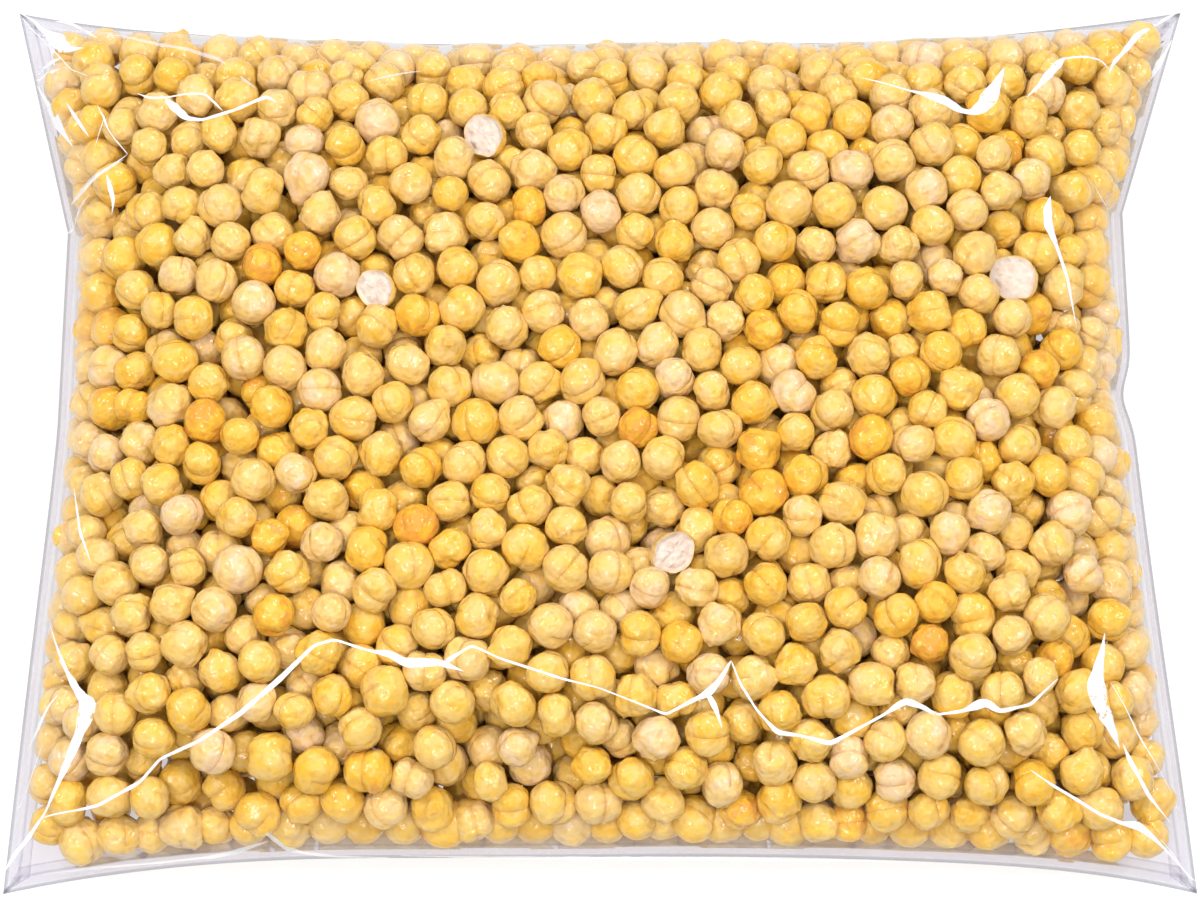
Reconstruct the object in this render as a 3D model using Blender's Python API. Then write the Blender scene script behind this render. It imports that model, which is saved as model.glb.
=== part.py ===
"""A clear pillow bag of roasted chickpeas, sealed all round and lying on its back.

The bag is shut and full, so it is one closed solid: a cushion whose upper side and
margins carry the bump of every chickpea that presses against the film, a thin seal
round the edge that runs out into four flat ears, and a flat patch underneath where
the bag rests.

Metres, +Z up. The origin is on the floor, under the middle of the bag. +X runs along
the length and -Y is the side nearest the viewer.
"""
import bmesh
import bpy
import numpy as np

# Outline, seen from above
EAR_REACH_BACK = 0.1300       # half length, tip to tip, of the two back ears
EAR_REACH_FRONT = 0.1228      # half length, tip to tip, of the two front ears
EAR_REACH_SIDE = 0.1013       # half width, tip to tip, of the ears
WAIST_LEFT = 0.1160           # half length of the filled middle, left side
WAIST_RIGHT = 0.1142          # half length of the filled middle, right side
MIDDLE_BACK = 0.0920          # half width of the filled middle, back edge
MIDDLE_FRONT = 0.0952         # half width of the filled middle, front edge
EAR_START_LEFT = 0.45         # share of the way back at which the left ear starts to flare
EAR_START_RIGHT = 0.50
FRONT_FLARE = 1.2             # 1 is a straight front ear, more is a curved one
BACK_CURL = 3.2               # how late the back edge bends out to its ears
FRONT_CURL = 4.0
PINCH_DEPTH = 0.0020          # the nick in the right-hand edge
PINCH_PLACE = 0.0070          # how far back of the middle the nick sits
PINCH_WIDTH = 0.0060

# Cushion
TOP_HEIGHT = 0.0430           # thickness of the bag at its middle
SHOULDER = 0.0500             # how far in from the seal the top sheet has risen fully
CROWN = 0.0012                # extra height of the very middle over the shoulders
FOOT_MARGIN = 0.0240          # how far in from the seal the bag lies flat on the floor
FOOT_ROUNDING = 2.2           # 1 is a straight slope down to the floor, more is a rounded one
SEAM_HEIGHT = 0.0110          # height of the seal half-way along an edge
EAR_HEIGHT_FRONT = 0.0050     # height of the seal at the front ears
EAR_HEIGHT_BACK = 0.0080      # height of the seal at the back ears
SEAL_WIDTH = 0.0022
SEAL_THICKNESS = 0.0010
RIPPLE = 0.0006               # how much the sealed edge waves up and down
RIPPLES_ALONG = 9.0           # radians of wave in half the bag's length
RIPPLES_BACK = 7.0            # radians of wave in half its width
EAR_SHARPNESS = 3             # how late the seal starts to droop towards an ear

# Contents
CHICKPEA_RADIUS = 0.00455
SIZE_SPREAD = 0.055           # how much the chickpeas' radii differ, as a share
FILL_SHARE = 0.650            # share of the bag's inside that chickpeas take up
DIMPLE = 0.0024               # how far the film sinks between two chickpeas
PROUD = 0.0005                # how far a chickpea may push the film out
SOFTNESS = 0.0007             # how gently the film bends off a chickpea
STEEPEST = 2.5                # the film's dimples deepen on steep sides, up to this much
PACKING_SEED = 7
PACKING_STEPS = 240
NEIGHBOUR_REACH = 2.6         # radii within which two chickpeas are watched
WATCH_STEPS = 4               # steps between two searches for neighbours
RETREAT = 0.006               # step, as a share, of a chickpea caught in the thin edge

# Mesh
GRID_STEP = 0.0013            # spacing of the fine sheet that the bumps are drawn on
SURVIVING_FACES = 0.100       # share of the fine sheets' triangles that is kept
BLOCKS = 60                   # pieces in which a sheet's corners are worked out
FLAT_SNAP = 0.00008           # corners this close to the floor lie on it


def ramp(value, start, end):
    """0 before start, 1 after end and straight in between."""
    return np.clip((value - start) / (end - start), 0.0, 1.0)


def left_edge(v):
    """x of the left edge, v running from -1 at the front to 1 at the back."""
    to_back_ear = (EAR_REACH_BACK - WAIST_LEFT) * ramp(v, EAR_START_LEFT, 1.0)
    to_front_ear = (EAR_REACH_FRONT - WAIST_LEFT) * ramp(-v, 0.0, 1.0) ** FRONT_FLARE
    return -(WAIST_LEFT + to_back_ear + to_front_ear)


def right_edge(v):
    """x of the right edge, which has a nick just back of its middle."""
    to_back_ear = (EAR_REACH_BACK - WAIST_RIGHT) * ramp(v, EAR_START_RIGHT, 1.0)
    to_front_ear = (EAR_REACH_FRONT - WAIST_RIGHT) * ramp(-v, 0.0, 1.0) ** FRONT_FLARE
    from_nick = (v * EAR_REACH_SIDE - PINCH_PLACE) / PINCH_WIDTH
    return WAIST_RIGHT + to_back_ear + to_front_ear - PINCH_DEPTH * np.exp(-from_nick ** 2)


def back_edge(u):
    """y of the back edge, u running from -1 at the left to 1 at the right."""
    return MIDDLE_BACK + (EAR_REACH_SIDE - MIDDLE_BACK) * np.abs(u) ** BACK_CURL


def front_edge(u):
    """y of the front edge."""
    return -(MIDDLE_FRONT + (EAR_REACH_SIDE - MIDDLE_FRONT) * np.abs(u) ** FRONT_CURL)


def plan_position(u, v):
    """x and y of the film at u, v, both running from -1 to 1 between opposite edges."""
    x = left_edge(v) * (1 - u) / 2 + right_edge(v) * (1 + u) / 2
    y = front_edge(u) * (1 - v) / 2 + back_edge(u) * (1 + v) / 2
    return x, y


def edge_distances(u, v):
    """How far a place lies inside the left, right, front and back seals."""
    x, y = plan_position(u, v)
    distances = (x - left_edge(v), right_edge(v) - x, y - front_edge(u), back_edge(u) - y)
    return [np.maximum(distance - SEAL_WIDTH, 0.0) for distance in distances]


def seam_height(u, v):
    """Height of the seal's middle, which droops from the edges towards the ears."""
    ear_height = np.where(v > 0, EAR_HEIGHT_BACK, EAR_HEIGHT_FRONT)
    towards_ear = np.abs(u * v) ** EAR_SHARPNESS
    wave = RIPPLE * np.sin(RIPPLES_ALONG * u) * np.cos(RIPPLES_BACK * v)
    return SEAM_HEIGHT + (ear_height - SEAM_HEIGHT) * towards_ear + wave


def top_sheet(u, v):
    """Height of the upper film before any chickpea presses into it."""
    rise = 1.0
    for distance in edge_distances(u, v):
        rise = rise * np.sqrt(1 - (1 - ramp(distance, 0.0, SHOULDER)) ** 2)
    crown = CROWN * np.clip(1 - u * u, 0, 1) * np.clip(1 - v * v, 0, 1)
    seam = seam_height(u, v)
    return seam + (TOP_HEIGHT - CROWN - seam) * rise + crown


def bottom_sheet(u, v):
    """Height of the lower film, which is flat on the floor away from the edges."""
    landed = 1.0
    for distance in edge_distances(u, v):
        short = 1 - ramp(distance, 0.0, FOOT_MARGIN)
        landed = landed * (1 - short ** FOOT_ROUNDING)
    return seam_height(u, v) * (1 - landed)


class Cavity:
    """The room inside the film, as tables of where a chickpea's middle may lie."""

    STEP = 0.0009

    def __init__(self):
        self.columns = int(2 * WAIST_LEFT / self.STEP)
        self.rows = int(2 * MIDDLE_FRONT / self.STEP)
        across, back = np.linspace(-1, 1, self.columns), np.linspace(-1, 1, self.rows)
        self.u, self.v = np.meshgrid(across, back)
        top, bottom = top_sheet(self.u, self.v), bottom_sheet(self.u, self.v)
        self.ceiling = self.highest_fit(top)
        self.floor = -self.highest_fit(-bottom)
        self.room = self.ceiling - self.floor
        self.inward_v, self.inward_u = np.gradient(self.room)
        x, y = plan_position(self.u, self.v)
        cell = np.gradient(x, axis=1) * np.gradient(y, axis=0)
        self.volume = float(((top - bottom) * cell).sum())

    def highest_fit(self, sheet):
        """Highest middle of a ball that stays under a sheet all the way round it."""
        reach = int(CHICKPEA_RADIUS / self.STEP)
        padded = np.pad(sheet, reach)
        fit = np.full_like(sheet, np.inf)
        for down in range(-reach, reach + 1):
            for along in range(-reach, reach + 1):
                squared = CHICKPEA_RADIUS ** 2 - (down ** 2 + along ** 2) * self.STEP ** 2
                if squared > 0:
                    rows = slice(reach + down, reach + down + self.rows)
                    columns = slice(reach + along, reach + along + self.columns)
                    fit = np.minimum(fit, padded[rows, columns] - np.sqrt(squared))
        return fit

    def read(self, table, u, v):
        """A table's value at u, v, from the nearest cell."""
        column = np.clip(np.rint((u + 1) / 2 * (self.columns - 1)), 0, self.columns - 1)
        row = np.clip(np.rint((v + 1) / 2 * (self.rows - 1)), 0, self.rows - 1)
        return table[row.astype(int), column.astype(int)]

    def scatter(self, count, rng):
        """Places drawn at random, more of them where the bag is thicker."""
        room = np.maximum(self.room, 0.0).ravel()
        cells = rng.choice(room.size, count, p=room / room.sum())
        share = rng.uniform(0, 1, count)
        z = self.floor.ravel()[cells] + share * room[cells]
        return self.u.ravel()[cells], self.v.ravel()[cells], z

    def hold(self, u, v, z):
        """Move chickpeas back in from the edges, the top and the bottom.

        Places are rounded to a tenth of a micrometre, so that every computer, whatever
        its last digits, packs the bag alike.
        """
        squeezed = self.read(self.room, u, v) < 0
        inward_u, inward_v = self.read(self.inward_u, u, v), self.read(self.inward_v, u, v)
        step = squeezed * RETREAT / (np.hypot(inward_u, inward_v) + 1e-9)
        u = np.clip(u + step * inward_u, -1, 1)
        v = np.clip(v + step * inward_v, -1, 1)
        floor, ceiling = self.read(self.floor, u, v), self.read(self.ceiling, u, v)
        middle, reach = (floor + ceiling) / 2, np.maximum(ceiling - floor, 0.0) / 2
        z = np.clip(z, middle - reach, middle + reach)
        return np.round(u, 6), np.round(v, 6), np.round(z, 7)


def neighbours(middles, reach):
    """Every two chickpeas whose middles are nearer than reach."""
    squares = (middles ** 2).sum(axis=1)
    squared = squares[:, None] + squares[None, :] - 2 * middles @ middles.T
    return np.nonzero(np.triu(squared < reach ** 2, k=1))


def push_apart(middles, radii, first, second):
    """How far each chickpea moves to get clear of the ones that it overlaps."""
    apart = middles[first] - middles[second]
    distance = np.maximum(np.linalg.norm(apart, axis=1), 1e-6)
    overlap = np.maximum(radii[first] + radii[second] - distance, 0.0)
    push = apart * (0.5 * overlap / distance)[:, None]
    count = len(middles)
    touching = np.bincount(first, overlap > 0, count) + np.bincount(second, overlap > 0, count)
    shift = [np.bincount(first, push[:, axis], count) - np.bincount(second, push[:, axis], count)
             for axis in range(3)]
    return np.stack(shift, axis=1) / np.sqrt(np.maximum(touching, 1.0))[:, None]


def pack_chickpeas():
    """Middles and radii of all the chickpeas, shaken apart until they fill the bag evenly."""
    cavity = Cavity()
    rng = np.random.default_rng(PACKING_SEED)
    ball = 4 / 3 * np.pi * CHICKPEA_RADIUS ** 3
    count = int(FILL_SHARE * cavity.volume / ball)
    u, v, z = cavity.scatter(count, rng)
    radii = CHICKPEA_RADIUS * (1 + SIZE_SPREAD * np.clip(rng.normal(0, 1, count), -2, 2))
    for step in range(PACKING_STEPS):
        middles = np.stack([*plan_position(u, v), z], axis=1)
        if step % WATCH_STEPS == 0:
            first, second = neighbours(middles, NEIGHBOUR_REACH * CHICKPEA_RADIUS)
        shift = push_apart(middles, radii, first, second)
        u, v, z = cavity.hold(u + shift[:, 0] / WAIST_LEFT, v + shift[:, 1] / MIDDLE_FRONT,
                              z + shift[:, 2])
    return np.stack([*plan_position(u, v), z], axis=1), radii


def outermost(x, y, middles, radii, side):
    """Height of the outermost chickpea over each place; side is 1 above, -1 below."""
    heights = []
    for block_x, block_y in zip(np.array_split(x, BLOCKS), np.array_split(y, BLOCKS)):
        squared = (block_x[:, None] - middles[:, 0]) ** 2 + (block_y[:, None] - middles[:, 1]) ** 2
        room = radii ** 2 - squared
        cap = side * middles[:, 2] + np.sqrt(np.maximum(room, 0.0))
        heights.append(np.where(room > 0, cap, -1.0).max(axis=1))
    return side * np.concatenate(heights)


def steepness(sheet, u, v):
    """Length along a sheet for each unit of length along the floor."""
    nudge = 0.004
    along = (sheet(u + nudge, v) - sheet(u - nudge, v)) / (2 * nudge * WAIST_LEFT)
    back = (sheet(u, v + nudge) - sheet(u, v - nudge)) / (2 * nudge * MIDDLE_FRONT)
    return np.minimum(np.sqrt(1 + along ** 2 + back ** 2), STEEPEST)


def soft_maximum(first, second):
    """The higher of two sheets, with the crease between them rounded."""
    gap = first - second
    return (first + second + np.sqrt(gap ** 2 + SOFTNESS ** 2)) / 2


def film_heights(u, v, middles, radii):
    """Heights of the upper and lower film at u, v with the chickpeas pressed into them."""
    x, y = plan_position(u, v)
    seam, top, bottom = seam_height(u, v), top_sheet(u, v), bottom_sheet(u, v)
    sink = DIMPLE * steepness(top_sheet, u, v) * ramp(top - seam, 0.0, 4 * DIMPLE)
    bumps = np.minimum(outermost(x, y, middles, radii, 1), top + PROUD)
    top = np.where(sink > 0, soft_maximum(top - sink, bumps), top)
    clear = ramp(bottom, 0.0, DIMPLE) * ramp(seam - bottom, 0.0, DIMPLE)
    bumps = np.maximum(outermost(x, y, middles, radii, -1), bottom)
    bottom = bottom + clear * (np.minimum(bottom + DIMPLE, bumps) - bottom)
    return top + SEAL_THICKNESS / 2, np.maximum(bottom - SEAL_THICKNESS / 2, 0.0)


def add_sheet(shell, columns, rows):
    """A fine square grid from -1 to 1, which becomes one sheet of the film."""
    made = bmesh.ops.create_grid(shell, x_segments=columns, y_segments=rows, size=1.0)
    return made["verts"]


def shape_sheets(upper, lower, middles, radii):
    """Carry both grids onto the bag."""
    for corners, side in ((upper, 0), (lower, 1)):
        u = np.array([corner.co.x for corner in corners])
        v = np.array([corner.co.y for corner in corners])
        x, y = plan_position(u, v)
        z = film_heights(u, v, middles, radii)[side]
        for corner, place in zip(corners, np.stack([x, y, z], axis=1)):
            corner.co = place


def golden_film():
    """Clear film over golden-yellow roasted chickpeas, seen as one surface."""
    material = bpy.data.materials.new("clear_film_over_chickpeas")
    material.use_nodes = True
    surface = material.node_tree.nodes["Principled BSDF"]
    surface.inputs["Base Color"].default_value = (0.90, 0.56, 0.16, 1.0)
    surface.inputs["Roughness"].default_value = 0.30
    surface.inputs["Metallic"].default_value = 0.0
    return material


def build_bag(collection):
    """The bag as one closed, dimpled cushion with its sealed edge and ears."""
    middles, radii = pack_chickpeas()
    columns = int(2 * WAIST_LEFT / GRID_STEP)
    rows = int(2 * MIDDLE_FRONT / GRID_STEP)
    shell = bmesh.new()
    upper = add_sheet(shell, columns, rows)
    lower = add_sheet(shell, columns, rows)
    rims = [edge for edge in shell.edges if edge.is_boundary]
    shape_sheets(upper, lower, middles, radii)
    bmesh.ops.bridge_loops(shell, edges=rims)
    bmesh.ops.recalc_face_normals(shell, faces=shell.faces)
    mesh = bpy.data.meshes.new("chickpea_bag")
    shell.to_mesh(mesh)
    shell.free()
    bag = bpy.data.objects.new("chickpea_bag", mesh)
    collection.objects.link(bag)
    bag.data.materials.append(golden_film())
    thin_out(bag)
    return bag


def thin_out(bag):
    """Keep only the triangles that the bumps need, and lay the underside flat."""
    fewer = bag.modifiers.new("fewer_faces", "DECIMATE")
    fewer.ratio = SURVIVING_FACES
    fewer.use_collapse_triangulate = True
    seen = bag.evaluated_get(bpy.context.evaluated_depsgraph_get())
    thinned = bpy.data.meshes.new_from_object(seen)
    bag.modifiers.clear()
    bag.data = thinned
    for corner in thinned.vertices:
        if corner.co.z < FLAT_SNAP:
            corner.co.z = 0.0
    thinned.shade_smooth()


def main():
    for thing in list(bpy.data.objects):
        bpy.data.objects.remove(thing, do_unlink=True)
    collection = bpy.data.collections.new("bag_of_chickpeas")
    bpy.context.scene.collection.children.link(collection)
    build_bag(collection)


main()
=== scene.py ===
# %% [markdown]
# A clear pillow bag of roasted chickpeas
#
# The real object is a tube of clear glossy film, welded shut at all four edges, with about
# two and a half thousand roasted chickpeas pressed into it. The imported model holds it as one
# closed cushion. This lesson swaps that cushion for the real things: every chickpea as its own
# little mesh, the film stretched over them, the welded edge, and the folds that catch the light.

# %% Load the frame
import math
import bpy
import numpy as np
from mathutils import Matrix, Vector


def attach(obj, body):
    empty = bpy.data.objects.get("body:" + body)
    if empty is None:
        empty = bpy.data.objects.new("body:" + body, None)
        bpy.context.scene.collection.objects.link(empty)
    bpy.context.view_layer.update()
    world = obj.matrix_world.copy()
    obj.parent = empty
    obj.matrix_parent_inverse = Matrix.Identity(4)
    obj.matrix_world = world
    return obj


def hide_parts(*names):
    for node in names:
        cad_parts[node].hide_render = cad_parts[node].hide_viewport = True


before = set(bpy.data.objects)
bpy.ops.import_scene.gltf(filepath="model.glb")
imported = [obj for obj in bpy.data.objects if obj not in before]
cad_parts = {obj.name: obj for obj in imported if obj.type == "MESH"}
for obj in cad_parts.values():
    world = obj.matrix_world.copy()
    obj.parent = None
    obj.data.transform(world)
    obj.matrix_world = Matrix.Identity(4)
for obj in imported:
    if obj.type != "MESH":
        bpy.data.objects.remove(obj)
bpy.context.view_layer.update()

# %% [markdown]
# The camera
#
# The photograph looks down on the bag from in front, tilted a little so that the front edge
# comes out longer than the back one. A long lens a good way off keeps the rest of the
# perspective small. The angle and the distance were found from how the chickpeas shrink from
# the front of the picture to its back.

# %% Set up the camera
CAMERA_TILT = math.radians(68)      # above the horizon
CAMERA_DISTANCE = 0.850
CAMERA_AIM = Vector((0.0, -0.0081, 0.018))
LENS = 120.6
SENSOR = 36.0
PHOTO_WIDTH, PHOTO_HEIGHT = 1200, 900

camera_data = bpy.data.cameras.new("camera")
camera_data.lens = LENS
camera_data.sensor_width = SENSOR
camera = bpy.data.objects.new("camera", camera_data)
bpy.context.scene.collection.objects.link(camera)
bpy.context.scene.camera = camera
camera_back = Vector((0, -math.cos(CAMERA_TILT), math.sin(CAMERA_TILT)))
camera.location = CAMERA_AIM + CAMERA_DISTANCE * camera_back
camera.rotation_euler = (math.pi / 2 - CAMERA_TILT, 0, 0)
print("camera stands at", [round(value, 3) for value in camera.location])

# %% [markdown]
# The sizes of the bag
#
# A filled pillow bag keeps its four corners as flat ears, because film can't stretch: where
# the contents lift the middle, the edges are drawn in. The outline comes from how far the ears
# reach and how narrow the filled middle is, and the height from how steeply the film climbs
# away from the weld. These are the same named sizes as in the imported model, in metres.

# %% Name the sizes of the bag
EAR_REACH_BACK = 0.1300             # from the middle out to the tip of an ear at the back
EAR_REACH_FRONT = 0.1228
EAR_REACH_SIDE = 0.1013             # from the middle to the tips, front to back
WAIST_LEFT = 0.1160                 # from the middle to the side, where the filling draws it in
WAIST_RIGHT = 0.1142
MIDDLE_BACK = 0.0920                # from the middle to the edge behind and in front
MIDDLE_FRONT = 0.0952
EAR_START_LEFT = 0.45               # where along the side a back ear starts
EAR_START_RIGHT = 0.50
FRONT_FLARE = 1.2                   # how late the sides flare out to the front ears
BACK_CURL = 3.2                     # how late the back edge curls out to its ears
FRONT_CURL = 4.0
PINCH_DEPTH = 0.0020                # the small nick in the right side
PINCH_PLACE = 0.0070
PINCH_WIDTH = 0.0060
TOP_HEIGHT = 0.0430                 # of the upper film, well inside the edges
SHOULDER = 0.0500                   # how far in the film reaches that height
CROWN = 0.0012                      # how much higher the middle is
FOOT_MARGIN = 0.0240                # how far in the lower film meets the floor
FOOT_ROUNDING = 2.2
SEAM_HEIGHT = 0.0110                # of the weld along the sides
EAR_HEIGHT_FRONT = 0.0050           # of the weld at the ears
EAR_HEIGHT_BACK = 0.0080
EAR_SHARPNESS = 3                   # how late the weld dips towards an ear
SEAL_WIDTH = 0.0022
RIPPLE = 0.0006                     # height of the weld's own waves, and how many there are
RIPPLES_ALONG = 9.0
RIPPLES_BACK = 7.0

print("from ear to ear it is", round(2000 * EAR_REACH_BACK), "mm")

# %% [markdown]
# The outline from above
#
# Two numbers, u across and v from front to back, both from -1 to 1, name every place on the
# film. Each of the four edges is a function of one of them, and a place inside is simply mixed
# from the edges on both sides of it. That keeps the outline in one spot, so the chickpeas, the
# film and the weld all follow it.

# %% Draw the outline
PLAN_ROUNDS = 8                     # rounds that close in on a place's u and v


def ramp(value, start, end):
    """0 before start, 1 after end and straight in between."""
    return np.clip((value - start) / (end - start), 0.0, 1.0)


def left_edge(v):
    """x of the left edge, which runs out to an ear at both ends."""
    to_back_ear = (EAR_REACH_BACK - WAIST_LEFT) * ramp(v, EAR_START_LEFT, 1.0)
    to_front_ear = (EAR_REACH_FRONT - WAIST_LEFT) * ramp(-v, 0.0, 1.0) ** FRONT_FLARE
    return -(WAIST_LEFT + to_back_ear + to_front_ear)


def right_edge(v):
    """x of the right edge, with its small nick."""
    to_back_ear = (EAR_REACH_BACK - WAIST_RIGHT) * ramp(v, EAR_START_RIGHT, 1.0)
    to_front_ear = (EAR_REACH_FRONT - WAIST_RIGHT) * ramp(-v, 0.0, 1.0) ** FRONT_FLARE
    from_nick = (v * EAR_REACH_SIDE - PINCH_PLACE) / PINCH_WIDTH
    return WAIST_RIGHT + to_back_ear + to_front_ear - PINCH_DEPTH * np.exp(-from_nick ** 2)


def back_edge(u):
    """y of the back edge."""
    return MIDDLE_BACK + (EAR_REACH_SIDE - MIDDLE_BACK) * np.abs(u) ** BACK_CURL


def front_edge(u):
    """y of the front edge."""
    return -(MIDDLE_FRONT + (EAR_REACH_SIDE - MIDDLE_FRONT) * np.abs(u) ** FRONT_CURL)


def plan_position(u, v):
    """x and y of the film at u, v."""
    x = left_edge(v) * (1 - u) / 2 + right_edge(v) * (1 + u) / 2
    y = front_edge(u) * (1 - v) / 2 + back_edge(u) * (1 + v) / 2
    return x, y


def unit_place(x, y):
    """u and v of a place on the floor plan, closed in on by a few rounds."""
    u, v = x / WAIST_LEFT, y / MIDDLE_FRONT
    for _ in range(PLAN_ROUNDS):
        left, right = left_edge(np.clip(v, -1, 1)), right_edge(np.clip(v, -1, 1))
        front, back = front_edge(np.clip(u, -1, 1)), back_edge(np.clip(u, -1, 1))
        u, v = (2 * x - left - right) / (right - left), (2 * y - front - back) / (back - front)
    return np.clip(u, -1, 1), np.clip(v, -1, 1)


print("at its waist it is", round(1000 * float(right_edge(0.0) - left_edge(0.0))), "mm")

# %% [markdown]
# The two sheets of film
#
# Away from the weld the upper film climbs like a quarter of a circle until it lies on the
# chickpeas, and the lower film drops to the floor. Both start at the weld's own height, which
# dips towards the ears and waves a little, as a heat weld does when the bag is filled.

# %% Lay the two sheets


def edge_distances(u, v):
    """How far a place lies inside the left, right, front and back seals."""
    x, y = plan_position(u, v)
    distances = (x - left_edge(v), right_edge(v) - x, y - front_edge(u), back_edge(u) - y)
    return [np.maximum(distance - SEAL_WIDTH, 0.0) for distance in distances]


def seam_height(u, v):
    """Height of the weld, lower at the ears and slightly wavy."""
    ear_height = np.where(v > 0, EAR_HEIGHT_BACK, EAR_HEIGHT_FRONT)
    towards_ear = np.abs(u * v) ** EAR_SHARPNESS
    wave = RIPPLE * np.sin(RIPPLES_ALONG * u) * np.cos(RIPPLES_BACK * v)
    return SEAM_HEIGHT + (ear_height - SEAM_HEIGHT) * towards_ear + wave


def top_sheet(u, v):
    """Height of the upper film before any chickpea presses into it."""
    rise = 1.0
    for distance in edge_distances(u, v):
        rise = rise * np.sqrt(1 - (1 - ramp(distance, 0.0, SHOULDER)) ** 2)
    crown = CROWN * np.clip(1 - u * u, 0, 1) * np.clip(1 - v * v, 0, 1)
    seam = seam_height(u, v)
    return seam + (TOP_HEIGHT - CROWN - seam) * rise + crown


def bottom_sheet(u, v):
    """Height of the lower film, which is flat on the floor away from the edges."""
    landed = 1.0
    for distance in edge_distances(u, v):
        short = 1 - ramp(distance, 0.0, FOOT_MARGIN)
        landed = landed * (1 - short ** FOOT_ROUNDING)
    return seam_height(u, v) * (1 - landed)


middle_height = float(top_sheet(np.array(0.0), np.array(0.0)))
print("film is", round(middle_height * 1000, 1), "mm up at its middle")

# %% [markdown]
# The room inside
#
# Before the bag can be filled, the script has to know where a chickpea fits. Two tables hold
# the lowest and the highest place that the middle of one can have, for every millimetre or so
# of the plan: a ball is tried under the film, and the film's lowest point over it sets its
# height. Where the two tables cross, the bag is too thin for a chickpea.

# %% Measure the room inside the film
CHICKPEA_RADIUS = 0.00455
RETREAT = 0.006                     # how far a squeezed chickpea moves inward, in u or v


class Cavity:
    """The room inside the film, as tables of where a chickpea's middle may lie."""

    STEP = 0.0009                   # metres from one place in the tables to the next

    def __init__(self):
        self.columns = int(2 * WAIST_LEFT / self.STEP)
        self.rows = int(2 * MIDDLE_FRONT / self.STEP)
        across, back = np.linspace(-1, 1, self.columns), np.linspace(-1, 1, self.rows)
        self.u, self.v = np.meshgrid(across, back)
        top, bottom = top_sheet(self.u, self.v), bottom_sheet(self.u, self.v)
        self.ceiling = self.highest_fit(top)
        self.floor = -self.highest_fit(-bottom)
        self.room = self.ceiling - self.floor
        self.inward_v, self.inward_u = np.gradient(self.room)
        x, y = plan_position(self.u, self.v)
        cell = np.gradient(x, axis=1) * np.gradient(y, axis=0)
        self.volume = float(((top - bottom) * cell).sum())

    def highest_fit(self, sheet):
        """Highest middle of a ball that stays under a sheet all the way round it."""
        reach = int(CHICKPEA_RADIUS / self.STEP)
        padded = np.pad(sheet, reach)
        fit = np.full_like(sheet, np.inf)
        for down in range(-reach, reach + 1):
            for along in range(-reach, reach + 1):
                squared = CHICKPEA_RADIUS ** 2 - (down ** 2 + along ** 2) * self.STEP ** 2
                if squared > 0:
                    rows = slice(reach + down, reach + down + self.rows)
                    columns = slice(reach + along, reach + along + self.columns)
                    fit = np.minimum(fit, padded[rows, columns] - np.sqrt(squared))
        return fit

    def read(self, table, u, v):
        """A table's value at u, v, from the nearest cell."""
        column = np.clip(np.rint((u + 1) / 2 * (self.columns - 1)), 0, self.columns - 1)
        row = np.clip(np.rint((v + 1) / 2 * (self.rows - 1)), 0, self.rows - 1)
        return table[row.astype(int), column.astype(int)]

    def scatter(self, count, rng):
        """Places drawn at random, more of them where the bag is thicker."""
        room = np.maximum(self.room, 0.0).ravel()
        cells = rng.choice(room.size, count, p=room / room.sum())
        share = rng.uniform(0, 1, count)
        z = self.floor.ravel()[cells] + share * room[cells]
        return self.u.ravel()[cells], self.v.ravel()[cells], z

    def hold(self, u, v, z):
        """Move chickpeas back in from the edges, the top and the bottom."""
        squeezed = self.read(self.room, u, v) < 0
        inward_u, inward_v = self.read(self.inward_u, u, v), self.read(self.inward_v, u, v)
        step = squeezed * RETREAT / (np.hypot(inward_u, inward_v) + 1e-9)
        u = np.clip(u + step * inward_u, -1, 1)
        v = np.clip(v + step * inward_v, -1, 1)
        floor, ceiling = self.read(self.floor, u, v), self.read(self.ceiling, u, v)
        middle, reach = (floor + ceiling) / 2, np.maximum(ceiling - floor, 0.0) / 2
        z = np.clip(z, middle - reach, middle + reach)
        return np.round(u, 6), np.round(v, 6), np.round(z, 7)


print("a chickpea is", round(2000 * CHICKPEA_RADIUS, 1), "mm across")

# %% [markdown]
# Filling the bag
#
# Real chickpeas are poured in and shaken until they touch. Here that many balls, of slightly
# unlike sizes, start at random places inside the bag, and each round pushes apart those that
# overlap and pushes back those that left the film. After a couple of hundred rounds they fill
# the bag as evenly as shaken ones do: nearly in rows against the film, but never quite.

# %% Push the chickpeas apart
SIZE_SPREAD = 0.055                 # how unlike in size they are, as a share
FILL_SHARE = 0.650                  # how much of the room they take up
PACKING_SEED = 7
PACKING_STEPS = 240
NEIGHBOUR_REACH = 2.6               # radii within which two are watched
WATCH_STEPS = 4                     # rounds before the neighbours are looked up again
PRESSED = 1.03                      # how much they press into each other once packed


def neighbours(middles, reach):
    """Every two chickpeas whose middles are nearer than reach."""
    squares = (middles ** 2).sum(axis=1)
    squared = squares[:, None] + squares[None, :] - 2 * middles @ middles.T
    return np.nonzero(np.triu(squared < reach ** 2, k=1))


def push_apart(middles, radii, first, second):
    """How far each chickpea moves to get clear of the ones that it overlaps."""
    apart = middles[first] - middles[second]
    distance = np.maximum(np.linalg.norm(apart, axis=1), 1e-6)
    overlap = np.maximum(radii[first] + radii[second] - distance, 0.0)
    push = apart * (0.5 * overlap / distance)[:, None]
    count = len(middles)
    touching = np.bincount(first, overlap > 0, count) + np.bincount(second, overlap > 0, count)
    shift = [np.bincount(first, push[:, axis], count) - np.bincount(second, push[:, axis], count)
             for axis in range(3)]
    return np.stack(shift, axis=1) / np.sqrt(np.maximum(touching, 1.0))[:, None]


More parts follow.
